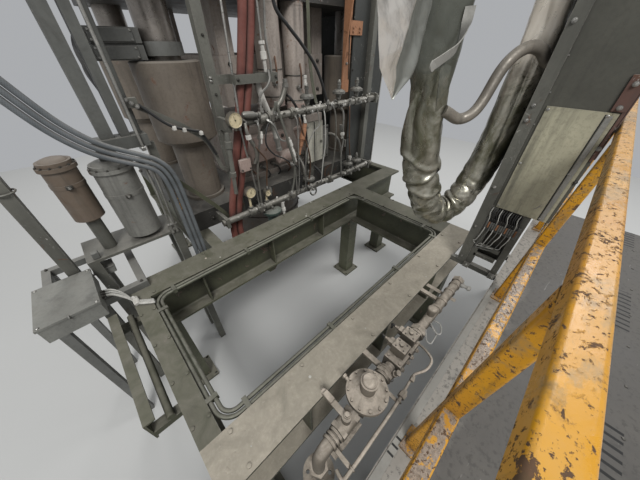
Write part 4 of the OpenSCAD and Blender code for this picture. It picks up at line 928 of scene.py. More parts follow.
def add_flap():
    """The flap: a bright fold that stands forward, a crease, and a part that turns away behind it, in a
    darker copy of the cloth as painted shade.
    """
    top, foot = FLAP_LEFT[0][0], FLAP_LEFT[-1][0]

    def spot(across, down):
        z = top + (foot - top) * (down ** 0.92)
        left, right = along(FLAP_LEFT, z), along(FLAP_RIGHT, z)
        crease = 0.50 - 0.10 * down + 0.05 * math.sin(5 * down)
        if across < crease:
            share = across / crease
            forward = -58 * math.sin(share * math.pi / 2) ** 1.2
        else:
            share = (across - crease) / (1 - crease)
            forward = -58 + 66 * share ** 0.7
        hang = min(1.0, down / 0.12) * (1 - down ** 5)
        x = left + (right - left) * across
        depth = forward * hang * (0.55 + 0.45 * math.sin(math.pi * min(1, down + 0.15)))
        depth += hang * 4 * wave(across * 2.4 + 0.6 * down + 0.3 * math.sin(5 * down))
        curl = bump_at(down, 0.86, 0.10) * bump_at(across, 0.9, 0.16)
        depth -= 26 * curl
        rough = Vector((x, FLAP_Y, z))
        depth += hang * (6 * crumple(rough, 190, 7.7) + 1.6 * crumple(rough, 60, 2.2))
        return mm(x + 4 * hang * crumple(rough, 150, 5.0), FLAP_Y + 14 + depth, z)

    # Past the crease the flap takes the darker cloth, as painted shade.
    made = cloth("sleeve_flap_cloth", 200, 96, spot, ["foil", "foil_shaded_side"],
                 lambda c, r: 1 if c > 0.52 - 0.10 * r + 0.05 * math.sin(5 * r) else 0)
    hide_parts("sleeve_flap")
    return made


STRAP_ONE = [(1393, 563, 2830), (1379, 556, 2760), (1335, 548, 2698), (1243, 548, 2666), (1163, 556, 2639)]
STRAP_TWO = [(1290, 556, 2640), (1275, 545, 2590), (1290, 542, 2530), (1330, 548, 2470)]


def add_straps():
    """The cloth straps that hold the flap's top, and their button."""
    form = Form("sleeve_straps")
    form.strip(STRAP_ONE, (0.25, -0.2, 1), 40, 4, "strap", 8)
    form.strip(STRAP_TWO, (1, -0.2, 0.2), 62, 4, "foil_dull_and_shaded", 8)
    form.turned((1163, 552, 2639), (0, 1, 0), [(0, 20), (6, 20)], "strap", 18)
    return form.done()


def add_cloths():
    add_loop_cloth()
    flap = add_flap()
    straps = add_straps()


# Details, in the bay's millimetres
RACK_Y = 1930
UPPER_Z = 2230
LOWER_Z = 1440
PIPE_R = 30
TAP_H = 60
BONNET_D = 130
PLATE_Y = 2112
TUBE_FOOT = 1466
TANK_Y = 2050
BAND_SHARE = 0.62
EJECTOR_Y = 2280
CABINET_FACE = 1792
GIRDER_TOP = 1350
DECK_TOP = 1360
BAY_MIDDLE = 1000
UPPER_VALVES = (1691, 2120, 2400)
LOWER_VALVES = (1689, 2335, 2500)
FRONT = (0, -1, 0)
UP = (0, 0, 1)


def around(centre, radius, count, start):
    """Points on a ring that lies flat."""
    for k in range(count):
        a = start + 2 * math.pi * k / count
        yield Vector(centre) + Vector((radius * math.cos(a), radius * math.sin(a), 0))


def add_gauges():
    """Cases, rims, ticks and needles of the three pressure gauges."""
    form = Form("gauge_trim")
    for x, z, size, back, needle in ((910, UPPER_Z + 42, 110, 1885.7, 1.9),
                                     (940, LOWER_Z + 219, 99, 1920, 1.2),
                                     (1120, LOWER_Z + TAP_H + 95, 66, 1922, 2.4)):
        r = size / 2
        rim_y = back - 45
        dial_y = rim_y + 4
        form.turned((x, back, z), FRONT,
                    [(0, r - 2), (0, r + 1.5), (8, r + 2.5), (36, r + 2.5), (45, r + 1), (46, r - 3),
                     (42, r - 7.2)], "case", 36, False)
        form.turned((x, dial_y + 0.4, z), FRONT, [(0, r - 7), (0.8, r - 7)], "dial", 36)
        for k in range(25):
            a = math.radians(-135 + 270 * k / 24) + math.pi / 2
            long_tick = k % 4 == 0
            way = Vector((math.cos(a), 0, math.sin(a)))
            outer = Vector((x, dial_y - 0.9, z)) + way * (r - 10)
            inner = outer - way * (r * (0.17 if long_tick else 0.09))
            form.rod(inner, outer, 0.9 if long_tick else 0.55, "needle", 4)
        way = Vector((math.cos(needle), 0, math.sin(needle)))
        hub = Vector((x, dial_y - 1.8, z))
        form.tube([hub - way * r * 0.22, hub, hub + way * r * 0.62], 1.0, "needle", 5, 2)
        form.turned(hub + Vector((0, 1.2, 0)), FRONT, [(0, r * 0.10), (2, r * 0.10), (3, r * 0.06)], "needle",
                    12)
        form.nut((x, back - 22, z - r - 1), (0, 0, -1), max(9, r * 0.2), "case", 1.4)
    form.rod((910, 1893, UPPER_Z - 8), (910, 1905, UPPER_Z - 6), 10, "case")
    form.tube([(964, 1906, 2236), (966, 1900, 2200), (974, 1903, 2120), (984, 1912, 2010), (1004, 1925, 1900),
               (1022, 1930, 1700), (1030, 1925, 1474)], 8, "thin_tube")
    form.nut((1030, 1925, 1470), UP, 15, "bolt", 1.6)
    form.nut((964, 1906, 2212), (0, -0.2, -1), 15, "bolt", 1.6)
    return form.done()


def add_valve_trim():
    """Bonnet bolts, stem caps and small fittings of the manifold's valves."""
    form = Form("valve_trim")
    rng = random.Random(7)
    for x, base, h in [(x, UPPER_Z + TAP_H, 50) for x in UPPER_VALVES] + [(x, LOWER_Z + TAP_H,
                                                                           40) for x in LOWER_VALVES]:
        for spot in around((x, RACK_Y, base + 57.5), BONNET_D / 2 - 12, 8, rng.random()):
            form.bolt(spot, UP, 6.5, "bolt")
        for spot in around((x, RACK_Y, base + 40.5), BONNET_D / 2 - 12, 8, 0.2):
            form.nut(spot, (0, 0, -1), 6.5, "dark_bolt")
        top = base + 74 + h
        form.turned((x, RACK_Y, top - 0.5), UP, [(0, 16), (6, 19), (14, 19), (18, 13), (30, 11), (33, 8)],
                    "valve", 16)
        form.nut((x - 44, RACK_Y, base - 22), (-1, 0, 0.15), 13, "bolt", 1.3)
        form.turned((x, RACK_Y - 36, base - 60), FRONT, [(0, 13), (16, 13), (18, 10), (34, 10), (36, 6)],
                    "valve", 12)
        form.nut((x, RACK_Y - 60, base - 60), FRONT, 14, "bolt", 1.1)
    form.turned((1678, RACK_Y, UPPER_Z + TAP_H + 140), UP,
                [(0, 15), (20, 16), (22, 12), (50, 11), (54, 15), (74, 15), (76, 9)], "plaster", 16)
    for x in (940, 1120, 1689, 2335, 2500):
        form.hoop((x, RACK_Y, LOWER_Z + TAP_H - 6), UP, 19, 4, "pipe", 20, 6)
    for x in (1190, 1691, 2120, 2400):
        form.hoop((x, RACK_Y, UPPER_Z + TAP_H - 6), UP, 19, 4, "pipe", 20, 6)
    form.turned((1190, RACK_Y, UPPER_Z + TAP_H), UP,
                [(0, 24), (18, 24), (20, 15), (44, 15), (46, 20), (58, 20), (62, 10)], "bolt", 6)
    form.tube([(1190, RACK_Y, UPPER_Z + 110), (1192, 1925, 2375), (1215, 1915, 2420), (1265, 1912, 2455),
               (1300, 1918, 2500), (1304, 1932, 2560)], 9, "thin_tube")
    return form.done()


def add_clutter(form):
    """The thick forked tube, the plate, the stained cylinder and the fat nipple behind the thin tubes."""
    form.tube([(1232, 2000, 2470), (1270, 2004, 2349), (1328, 2010, 2202), (1369, 2010, 2024)], 25, "plaster",
              14, 6)
    form.tube([(1508, 2000, 2430), (1454, 2004, 2329), (1356, 2010, 2240), (1250, 2012, 2130),
               (1178, 2010, 2050)], 23, "pipe", 14, 6)
    form.turned((1508, 2000, 2425), UP, [(0, 30), (26, 30), (28, 22), (60, 22)], "bolt", 6)
    form.turned((1232, 2000, 2465), UP, [(0, 32), (26, 32), (28, 23), (60, 23)], "bolt", 6)
    form.turned((1369, 2010, 2030), (0.14, 0, -1),
                [(0, 32), (30, 32), (34, 24), (90, 24), (94, 31), (120, 31)], "bolt", 8)
    form.turned((1690, 2100, 2050), (0.42, 0, -1),
                [(0, 30), (8, 44), (60, 46), (200, 46), (206, 52), (236, 52), (244, 38), (262, 30)],
                "pinkish", 24)
    form.block((1790, PLATE_Y, 1640), (2170, 2128, 2000), "valve", 8)
    form.block((1972, 2108, 1650), (1980, 2113, 1990), "dark_bolt", 1)
    for x, z in ((1815, 1975), (2145, 1975), (1815, 1665), (2145, 1665), (1950, 1975), (2000, 1665)):
        form.bolt((x, PLATE_Y, z), FRONT, 9, "dark_bolt")
    form.turned((1000, 1896, 2290), (1, -0.1, -0.12),
                [(0, 16), (14, 24), (52, 27), (92, 27), (100, 20), (128, 18), (130, 24), (146, 24)], "valve",
                18)
    form.turned((1420, 2110, 1800), (1, 0, 0), [(0, 30), (12, 58), (150, 62), (162, 40), (190, 34)],
                "pinkish", 24)
    form.tube([(1610, 2110, 1800), (1660, 2100, 1790), (1690, 2080, 1740), (1690, 2020, 1660),
               (1680, 1980, 1560)], 17, "pipe", 12, 6)
    form.tube([(2170, 2120, 1900), (2230, 2080, 1880), (2270, 2030, 1800), (2275, 1990, 1640)], 15, "pipe",
              12, 6)
    form.tube([(1880, PLATE_Y, 1640), (1890, 2070, 1600), (1930, 2020, 1540), (1940, 1975, 1480)], 13,
              "black_rubber", 10, 6)
    form.turned((835, 1872, 2195), (-0.07, 0, -1),
                [(0, 15), (28, 20), (60, 20), (62, 27), (110, 27), (112, 18), (300, 18), (302, 25), (340, 25),
                 (342, 16), (490, 16)], "rack", 18)
    form.block((905, 1905, 1846), (1012, 1938, 1955), "pinkish", 6)
    for x in (918, 998):
        form.bolt((x, 1905, 1868), FRONT, 7, "dark_bolt")
    form.tube([(1010, 1896, 2228), (1000, 1874, 2180), (1016, 1868, 2110), (1050, 1872, 2040),
               (1062, 1884, 1960), (1040, 1900, 1900)], 15, "pipe", 12, 6)
    form.turned((1004, 1870, 2150), (0.1, 0, -1), [(0, 16), (4, 23), (34, 23), (38, 16)], "plaster", 8)
    form.tube([(1560, 2060, 2360), (1600, 2020, 2300), (1690, 1990, 2120), (1700, 1960, 1900),
               (1660, 1950, 1720)], 12, "black_rubber", 10, 6)


def add_manifold_lines():
    """The thin bent tubes, nipples and fittings between the two manifold pipes."""
    form = Form("manifold_lines")
    runs = [
        ([(1217, 1896, 2222), (1232, 1868, 2205), (1262, 1862, 2160), (1300, 1866, 2070), (1345, 1870, 2035),
          (1396, 1874, 2018), (1440, 1876, 1900), (1470, 1886, 1700), (1490, 1900, 1470)], 8, "thin_tube"),
        ([(1299, 1900, 2246), (1290, 1872, 2300), (1296, 1862, 2350), (1318, 1858, 2260), (1342, 1858, 2180),
          (1378, 1860, 2060), (1405, 1864, 1960), (1436, 1868, 1860), (1460, 1880, 1760), (1450, 1896, 1600),
          (1405, 1902, 1462)], 11, "rack"),
        ([(1509, 1898, 2222), (1516, 1872, 2160), (1512, 1868, 1970), (1502, 1868, 1650), (1496, 1890, 1470)],
         6, "thin_tube"),
        ([(1120, 1900, 2226), (1116, 1878, 2190), (1112, 1876, 2130), (1104, 1880, 2060), (1080, 1890, 1960),
          (1050, 1900, 1780), (1040, 1898, 1470)], 9, "pipe"),
        ([(1560, 1898, 2215), (1552, 1870, 2150), (1580, 1866, 2040), (1640, 1868, 1880), (1668, 1880, 1760),
          (1672, 1894, 1640), (1640, 1896, TUBE_FOOT)], 8, "copper"),
        ([(1790, 1898, 2226), (1800, 1880, 2100), (1720, 1872, 2050), (1640, 1866, 1950), (1600, 1868, 1800),
          (1600, 1890, TUBE_FOOT)], 6, "thin_tube"),
        ([(1995, 1900, 2246), (2020, 1880, 2180), (2036, 1872, 2040), (2038, 1874, 1890), (2026, 1880, 1700),
          (2000, 1896, TUBE_FOOT)], 8, "pipe"),
        ([(2120, 1898, 2215), (2150, 1876, 2140), (2150, 1874, 1960), (2170, 1880, 1860), (2150, 1884, 1700),
          (2190, 1896, TUBE_FOOT)], 9, "thin_tube"),
        ([(2260, 1898, 2220), (2250, 1876, 2120), (2270, 1878, 1900), (2310, 1884, 1700), (2330, 1890, 1640)],
         6, "copper"),
        ([(1700, 1896, 1450), (1660, 1880, 1420), (1668, 1878, 1385), (1700, 1878, 1362), (1735, 1880, 1366),
          (1752, 1882, 1400), (1740, 1890, 1440)], 9, "thin_tube"),
        ([(1240, 1895, 2215), (1180, 1872, 2150), (1160, 1866, 2040), (1230, 1866, 1940), (1330, 1866, 1880),
          (1420, 1866, 1800)], 7, "black_rubber"),
        ([(1420, 1866, 1800), (1480, 1872, 1760), (1530, 1876, 1650), (1540, 1896, TUBE_FOOT)], 7,
         "black_rubber"),
        ([(1020, 1900, 2240), (1012, 1872, 2190), (1030, 1862, 2080), (1090, 1862, 1990), (1140, 1866, 1900),
          (1128, 1880, 1760), (1120, 1892, 1640)], 6, "copper"),
        ([(1870, 1897, 2222), (1874, 1876, 2150), (1880, 1872, 1900), (1850, 1876, 1700),
          (1846, 1896, TUBE_FOOT)], 6, "white_wire"),
    ]
    for points, radius, finish in runs:
        form.tube(points, radius, finish)
        for end, inner in ((points[0], points[1]), (points[-1], points[-2])):
            way = (Vector(inner) - Vector(end)).normalized()
            form.nut(Vector(end) - way * 3, way, radius * 1.75, "bolt", 1.3)
            form.turned(Vector(end) + way * radius * 2.2, way,
                        [(0, radius * 1.35), (radius * 1.6, radius * 1.25), (radius * 2.0, radius * 1.02)],
                        "bolt", 12)
    add_clutter(form)
    fittings = [
        ((1630, 1896, 2135), (-0.42, -0.1, -1),
         [(0, 14), (10, 20), (46, 20), (48, 26), (150, 27), (154, 20), (172, 18), (214, 18), (218, 12),
          (290, 12)], "rust", 18),
        ((1619, 1898, 2206), (0.05, -0.2, -1), [(0, 15), (12, 15), (14, 10), (40, 10), (42, 14), (70, 14)],
         "plaster", 12),
        ((1405, 1872, 2050), (0.30, 0, -1),
         [(0, 13), (24, 14), (28, 19), (80, 20), (84, 14), (120, 13), (124, 17), (190, 17), (194, 10),
          (250, 9)], "plaster", 14),
        ((1133, 1884, 2150), (-0.12, 0, -1), [(0, 14), (16, 15), (20, 20), (52, 20), (56, 13), (96, 12)],
         "plaster", 12),
        ((2150, 1880, 1966), (0.1, 0.1, -1), [(0, 16), (14, 24), (34, 24), (38, 15), (70, 14)], "plaster",
         14),
        ((2131, 1886, 2040), (0.15, 0.1, -1), [(0, 18), (12, 19), (44, 19), (48, 13), (84, 12)], "valve", 14),
        ((2318, 1888, 1662), (0.2, 0, -1), [(0, 14), (10, 21), (30, 21), (34, 12), (60, 12)], "plaster", 14),
        ((2208, 1884, 1870), (0.1, 0.1, -1), [(0, 12), (20, 12), (24, 9), (80, 9)], "bolt", 10),
        ((1299, RACK_Y, LOWER_Z - 26), (0, -0.1, -1),
         [(0, 26), (14, 27), (18, 19), (70, 19), (76, 26), (108, 26), (112, 16), (140, 15)], "plaster", 16),
        ((1150, 1888, 1640), (0.05, 0.1, -1), [(0, 11), (20, 16), (50, 17), (54, 11), (90, 10)], "bolt", 12),
    ]
    for fitting in fittings:
        form.turned(*fitting)
    rng = random.Random(21)
    for k in range(34):
        x = 900 + 1860 * (k + rng.random() * 0.8) / 34
        pipe_z = UPPER_Z if k % 2 else LOWER_Z
        a = math.radians(rng.uniform(-20, 80))
        way = Vector((rng.uniform(-0.3, 0.3), -math.cos(a), math.sin(a))).normalized()
        base = Vector((x, RACK_Y, pipe_z)) + Vector((0, way.y, way.z)).normalized() * (PIPE_R - 2)
        size = rng.uniform(8, 14)
        form.turned(base, way,
                    [(0, size), (size * 0.8, size), (size * 0.9, size * 0.7), (size * 1.7, size * 0.7),
                     (size * 1.8, size * 0.95),
                                (size * 2.6, size * 0.95), (size * 2.8, size * 0.5)],
                                rng.choice(["bolt", "pipe", "plaster", "valve"]), 10)
    return form.done()


def add_release_crust():
    """Dried release agent that has run down onto the pipes, as low crusted lumps."""
    form = Form("release_crust")
    rng = random.Random(33)
    for k in range(90):
        pipe_z = UPPER_Z if k % 3 else LOWER_Z
        low_x = 1200 if pipe_z == UPPER_Z else 900
        x = rng.uniform(low_x, 2700)
        a = math.radians(rng.uniform(35, 125))
        way = Vector((0, -math.cos(a), math.sin(a)))
        size = rng.uniform(5, 15)
        form.turned(Vector((x, RACK_Y, pipe_z)) + way * (PIPE_R - 1.5),
                    way + Vector((rng.uniform(-0.2, 0.2), 0, 0)),
                    [(0, size * 1.15), (size * 0.22, size), (size * 0.42, size * 0.6),
                     (size * 0.5, size * 0.2)], "plaster", 7)
    for x, y, z, size in ((2709, 1918, 1472, 20), (2760, 1925, 1470, 15), (2660, 1920, 1470, 13),
                          (2440, 1930, 1471, 17)):
        form.turned((x, y, z - 6), (0.1, -0.2, 1),
                    [(0, size * 1.3), (size * 0.4, size), (size * 0.7, size * 0.4)], "plaster", 8)
    return form.done()


def add_rack_trim():
    """Bolts, brackets, rust and pipes of the rack, the guide bar and the guard."""
    form = Form("rack_trim")
    for z in (2505, 2525):
        form.bolt((880, 2040, z), FRONT, 9, "bolt")
    for x in (1040, 1375):
        form.bolt((x, 1940, 2510), FRONT, 10, "dark_bolt")
    for z in (1500, 1760, 2050, 2420, 2760, 3100, 3500):
        form.bolt((895, 2040, z), FRONT, 8, "dark_bolt")
    for x, z in ((1210, 3300), (1390, 3300), (1300, 3300)):
        form.bolt((x, 1960, z), FRONT, 10, "bolt")
    for z in (2940, 2880, 2560, 3300, 3600):
        form.bolt((2392, 2086, z), FRONT, 11, "bolt")
    for x, z in ((2450, 2845), (2550, 2845), (2550, 2815), (2450, 2815)):
        form.bolt((x, 2072, z), FRONT, 9, "rust")
    form.strip([(2344, 2082, 3900), (2400, 2083, 3000), (2436, 2083, 2420)], (1, 0, 0.05), 7, 7, "dark_bolt",
               6)
    for z in (1480, 1800, 2150, 2500, 2900, 3300, 3700):
        for x in (2500, 3040):
            form.bolt((x, 2086, z), FRONT, 8, "dark_bolt")
    form.strip([(3058, 2083, 3960), (3058, 2083, 2600), (3058, 2083, 1360)], (1, 0, 0), 14, 8, "edge_steel",
               4)
    for z in (1725, 2055):
        form.hoop((1752, 1996, z), FRONT, 9, 2.5, "bolt", 14, 6)
        form.turned((1958, 2000, z), FRONT, [(0, 7), (3, 7), (5, 4)], "bolt", 10)
    form.strip([(1844, 1999, 2090), (1844, 1998, 1900), (1844, 1999, 1690)], (1, 0, 0), 8, 5, "needle", 3)
    form.hoop((1938, 1994, 1885), FRONT, 12, 3, "dark_bolt", 18, 6)
    form.tube([(1418, 1985, 3250), (1418, 1950, 3120), (1418, 1936, 2929), (1520, 1930, 2825),
               (1635, 1926, 2728), (1773, 1920, 2588), (1857, 1916, 2458), (1912, 1912, 2330),
               (1940, 1914, 2262)], 13, "black_rubber", 12, 7)
    form.nut((1940, 1914, 2256), UP, 22, "bolt", 1.4)
    form.nut((1418, 1985, 3250), (0, 0, -1), 22, "dark_bolt", 1.4)
    form.strip([(1842, 2096, 3200), (1842, 2060, 2990), (1844, 2050, 2600), (1846, 1990, 2320),
                (1848, 1962, 2262)], (1, 0, 0), 34, 5, "girder", 8)
    form.rod((1089, 2060, 3250), (1010, 1972, 2262), 9, "thin_tube", 10)
    form.turned((1290, 1960, 2735), (0.05, 0, -1),
                [(0, 22), (20, 24), (26, 16), (60, 16), (64, 24), (110, 24), (114, 14), (200, 13)], "plaster",
                14)
    form.rod((1290, 1960, 3250), (1290, 1960, 2730), 8, "thin_tube")
    form.rod((1300, 1960, 2545), (1300, 1960, 2536), 18, "bolt")
    form.tube([(1360, 1966, 3250), (1352, 1962, 2980), (1330, 1958, 2760), (1345, 1950, 2600),
               (1340, 1948, 2538)], 9, "thin_tube")
    return form.done()


def add_die_trim():
    """The stained cross block, bolts and water fittings of the lower die."""
    form = Form("die_trim")
    form.block((1235, 2310, 1720), (1700, 2400, 1985), "pinkish", 8)
    for x in (1280, 1650):
        for z in (1765, 1940):
            form.bolt((x, 2310, z), FRONT, 15, "dark_bolt")
    for k in range(8):
        x = 1240 + 145 * k
        form.turned((x, 2400, 1640), FRONT, [(0, 22), (16, 22), (20, 13), (44, 13), (46, 18), (60, 18)],
                    "bolt" if k % 2 else "pipe", 12)
        form.tube([(x, 2342, 1640), (x + 20, 2300, 1620), (x + 30, 2280, 1570), (x + 10, 2300, 1531)], 9,
                  "black_rubber" if k % 3 else "copper")
    return form.done()


def add_ejector_trim():
    """Bands, fittings and drips on the ejector cylinders, which travel with the platen."""
    form = Form("ejector_trim", "platen")
    for x, d, z0 in ((1560, 220, 2240), (1850, 198, 2180)):
        for z in (z0 + 90, z0 + 300):
            form.hoop((x, EJECTOR_Y, z), UP, d / 2 + 1, 5, "dark_bolt", 36, 6)
        form.turned((x, EJECTOR_Y, z0 + 4), UP,
                    [(0, d / 2), (2, d / 2 + 2.5), (58, d / 2 + 2.5), (60, d / 2)], "pinkish", 40)
        form.turned((x - 40, EJECTOR_Y - d / 2 + 12, z0 + 200), FRONT,
                    [(0, 22), (24, 22), (26, 15), (44, 15)], "bolt", 12)
        form.tube([(x - 40, EJECTOR_Y - d / 2 - 34, z0 + 200), (x - 40, EJECTOR_Y - d / 2 - 44, z0 + 240),
                   (x - 30, EJECTOR_Y - d / 2 - 30, z0 + 330), (x - 10, 2290 - d / 2, z0 + 400)], 8, "copper")
    for x in (1235, 2265):
        for z in (2320, 2580):
            form.bolt((x, 2400, z), FRONT, 15, "dark_bolt")
    return form.done()


def add_left_lines():
    """Clamps, rods, thin tubes and the curved flat bar beside the tanks."""
    form = Form("left_lines")
    form.rod((290, 1960, 3900), (295, 1960, 2178), 9, "thin_tube", 10)
    form.block((282, 1948, 2168), (308, 2026, 2192), "bolt", 3)
    form.block((300, 1985, 2405), (372, 2008, 2462), "rack", 3)
    for x, z in ((312, 2452), (336, 2432), (360, 2412)):
        form.bolt((x, 1985, z), FRONT, 11, "bolt")
    form.tube([(372, 1996, 2420), (420, 1990, 2365), (470, 1985, 2310), (522, 1982, 2270), (580, 1984, 2246),
               (650, 1988, 2222), (700, 1995, 2190), (770, 2002, 2020)], 10, "black_rubber", 10, 6)
    for x, z in ((522, 2262), (582, 2240), (690, 2200)):
        form.block((x - 12, 1966, z - 14), (x + 12, 1996, z + 14), "plaster", 3)
    form.strip([(361, 2010, 2411), (470, 2014, 2340), (600, 2018, 2250), (720, 2026, 2140),
                (779, 2034, 2013)], (0, 1, 0), 12, 34, "rack", 6)
    form.strip([(779, 2034, 2013), (800, 2036, 1900), (860, 2044, 1850)], (0, 1, 0), 12, 30, "rack", 6)
    form.strip([(340, 1990, 2040), (400, 1992, 1990), (421, 1996, 1908), (560, 2000, 1720), (680, 2004, 1540),
                (749, 2006, 1407)], (0, 1, 0), 12, 34, "girder", 8)
    form.block((745, 1985, 1366), (775, 2100, 1412), "edge_steel", 4)
    form.tube([(254, 1928, 2103), (256, 1926, 1900), (250, 1926, 1750), (245, 1926, 1632)], 8, "thin_tube")
    form.tube([(287, 1928, 2081), (286, 1926, 1900), (280, 1926, 1750), (277, 1926, 1622)], 8, "thin_tube")
    for x in (245, 277):
        form.nut((x, 1926, 1622), (0, 0, -1), 14, "bolt", 1.5)
        form.turned((x, 1926, 1606), (0, 0, -1), [(0, 10), (44, 10), (46, 14), (60, 14)], "bolt", 10)
    form.block((232, 1920, 1560), (292, 1990, 1582), "rack", 3)
    form.block((232, 1918, 2098), (300, 2000, 2122), "rack", 3)
    form.strip([(387, 2035, 2040), (387, 2020, 1760), (387, 2010, 1653)], (1, 0, 0), 16, 3, "yellow", 3)
    form.block((330, 2010, 1560), (380, 2034, 2200), "rack", 3)
    return form.done()


def add_tank_trim():
    """Lid bolts, a clamped band and a raised lid on each of the two tanks, and one drain."""
    form = Form("tank_trim")
    for x, z0, z1, d in ((95, 1560, 2120, 225), (-145, 1790, 2190, 165)):
        for spot in around((x, TANK_Y, z1 - 23), d / 2 + 5, 12, 0.2):
            form.bolt(spot, UP, 6, "dark_bolt")
        z = z0 + (z1 - z0) * BAND_SHARE
        form.turned((x, TANK_Y, z), UP,
                    [(0, d / 2 + 0.3), (1, d / 2 + 3), (25, d / 2 + 3), (26, d / 2 + 0.3)], "tank", 40)
        form.block((x - 16, TANK_Y - d / 2 - 18, z + 2), (x + 16, TANK_Y - d / 2 + 2, z + 24), "dark_bolt", 3)
        form.bolt((x, TANK_Y - d / 2 - 18, z + 13), FRONT, 7, "bolt")
        form.turned((x, TANK_Y, z1), UP, [(0, d / 2 - 14), (9, d / 2 - 22), (16, d / 2 - 44), (18, 20)],
                    "tank", 36)
    form.rod((-145, TANK_Y, 1795), (-145, TANK_Y, 1740), 14, "bolt")
    form.block((-258, 1940, 1562), (-218, 1980, 1610), "box", 4)
    return form.done()


def add_box_trim():
    """Lids, locks and glands of the boxes, and the three pale cables of the terminal box."""
    form = Form("box_trim")
    for z0, z1 in ((2628, 2708), (2718, 2798)):
        form.block((318, 2322, z0 + 6), (560, 2330, z1 - 6), "box", 3)
        for x in (330, 548):
            for z in (z0 + 16, z1 - 16):
                form.turned((x, 2322, z), FRONT, [(0, 7), (3, 7), (5, 5)], "bolt", 10)
        for k in range(4):
            y = 2360 + 46 * k
            form.turned((310, y, (z0 + z1) / 2), (-1, 0, 0), [(0, 14), (10, 14), (12, 10), (26, 9)],
                        "dark_bolt", 8)
            form.tube([(288, y, (z0 + z1) / 2), (262, y, (z0 + z1) / 2 - 8), (240, y - 20, z0 - 60),
                       (236, 2200, 2500 - 8 * k), (222 + 8 * k, 2085, 2330)], 6, "black_rubber")
    for x in (-580, -320):
        for y in (1570, 1920):
            form.turned((x, y, 1520), UP, [(0, 9), (3, 9), (6, 6)], "bolt", 12)
    form.hoop((-450, 1554, 1512), (1, 0, 0), 12, 3, "bolt", 16, 6)
    form.block((-306, 1960, 1400), (-190, 2060, 1452), "pale_lid", 4)
    form.block((-310, 1956, 1452), (-186, 2064, 1458), "box", 2)
    for k in range(3):
        y = 1690 + 26 * k
        form.turned((-310, y, 1440), (1, 0, 0), [(0, 13), (12, 13), (14, 9), (24, 9)], "dark_bolt", 8)
        form.tube([(-288, y, 1440), (-255, y - 8, 1430), (-215, y - 30 - 6 * k, 1392),
                   (-170, 1600 - 10 * k, 1368), (-120, 1560 - 14 * k, 1362), (-80, 1535 - 14 * k, 1360)], 8,
                   "white_wire", 8, 6)
        form.tube([(-372 + 14 * k, 1936, 1470), (-366 + 14 * k, 1962, 1455), (-330 + 10 * k, 1985, 1425),
                   (-306, 1995 + 12 * k, 1425)], 6, "white_wire")
    form.tube([(-178, 1622, 1376), (-174, 1618, 1388), (-168, 1612, 1378)], 10, "plaster", 8, 4)
    form.block((-186, 1560, 1350), (-152, 1632, 1382), "plaster", 6)
    for y in (1704, 2304):
        for x in (-590, -110):
            form.bolt((x + 20, y + 22, 1400), UP, 9, "dark_bolt")
    for z in (2100, 2500):
        form.hoop((-390, 1980, z), UP, 46, 5, "rack", 20, 6)
    return form.done()


GAS_Y = 180
GAS_Z = 1350


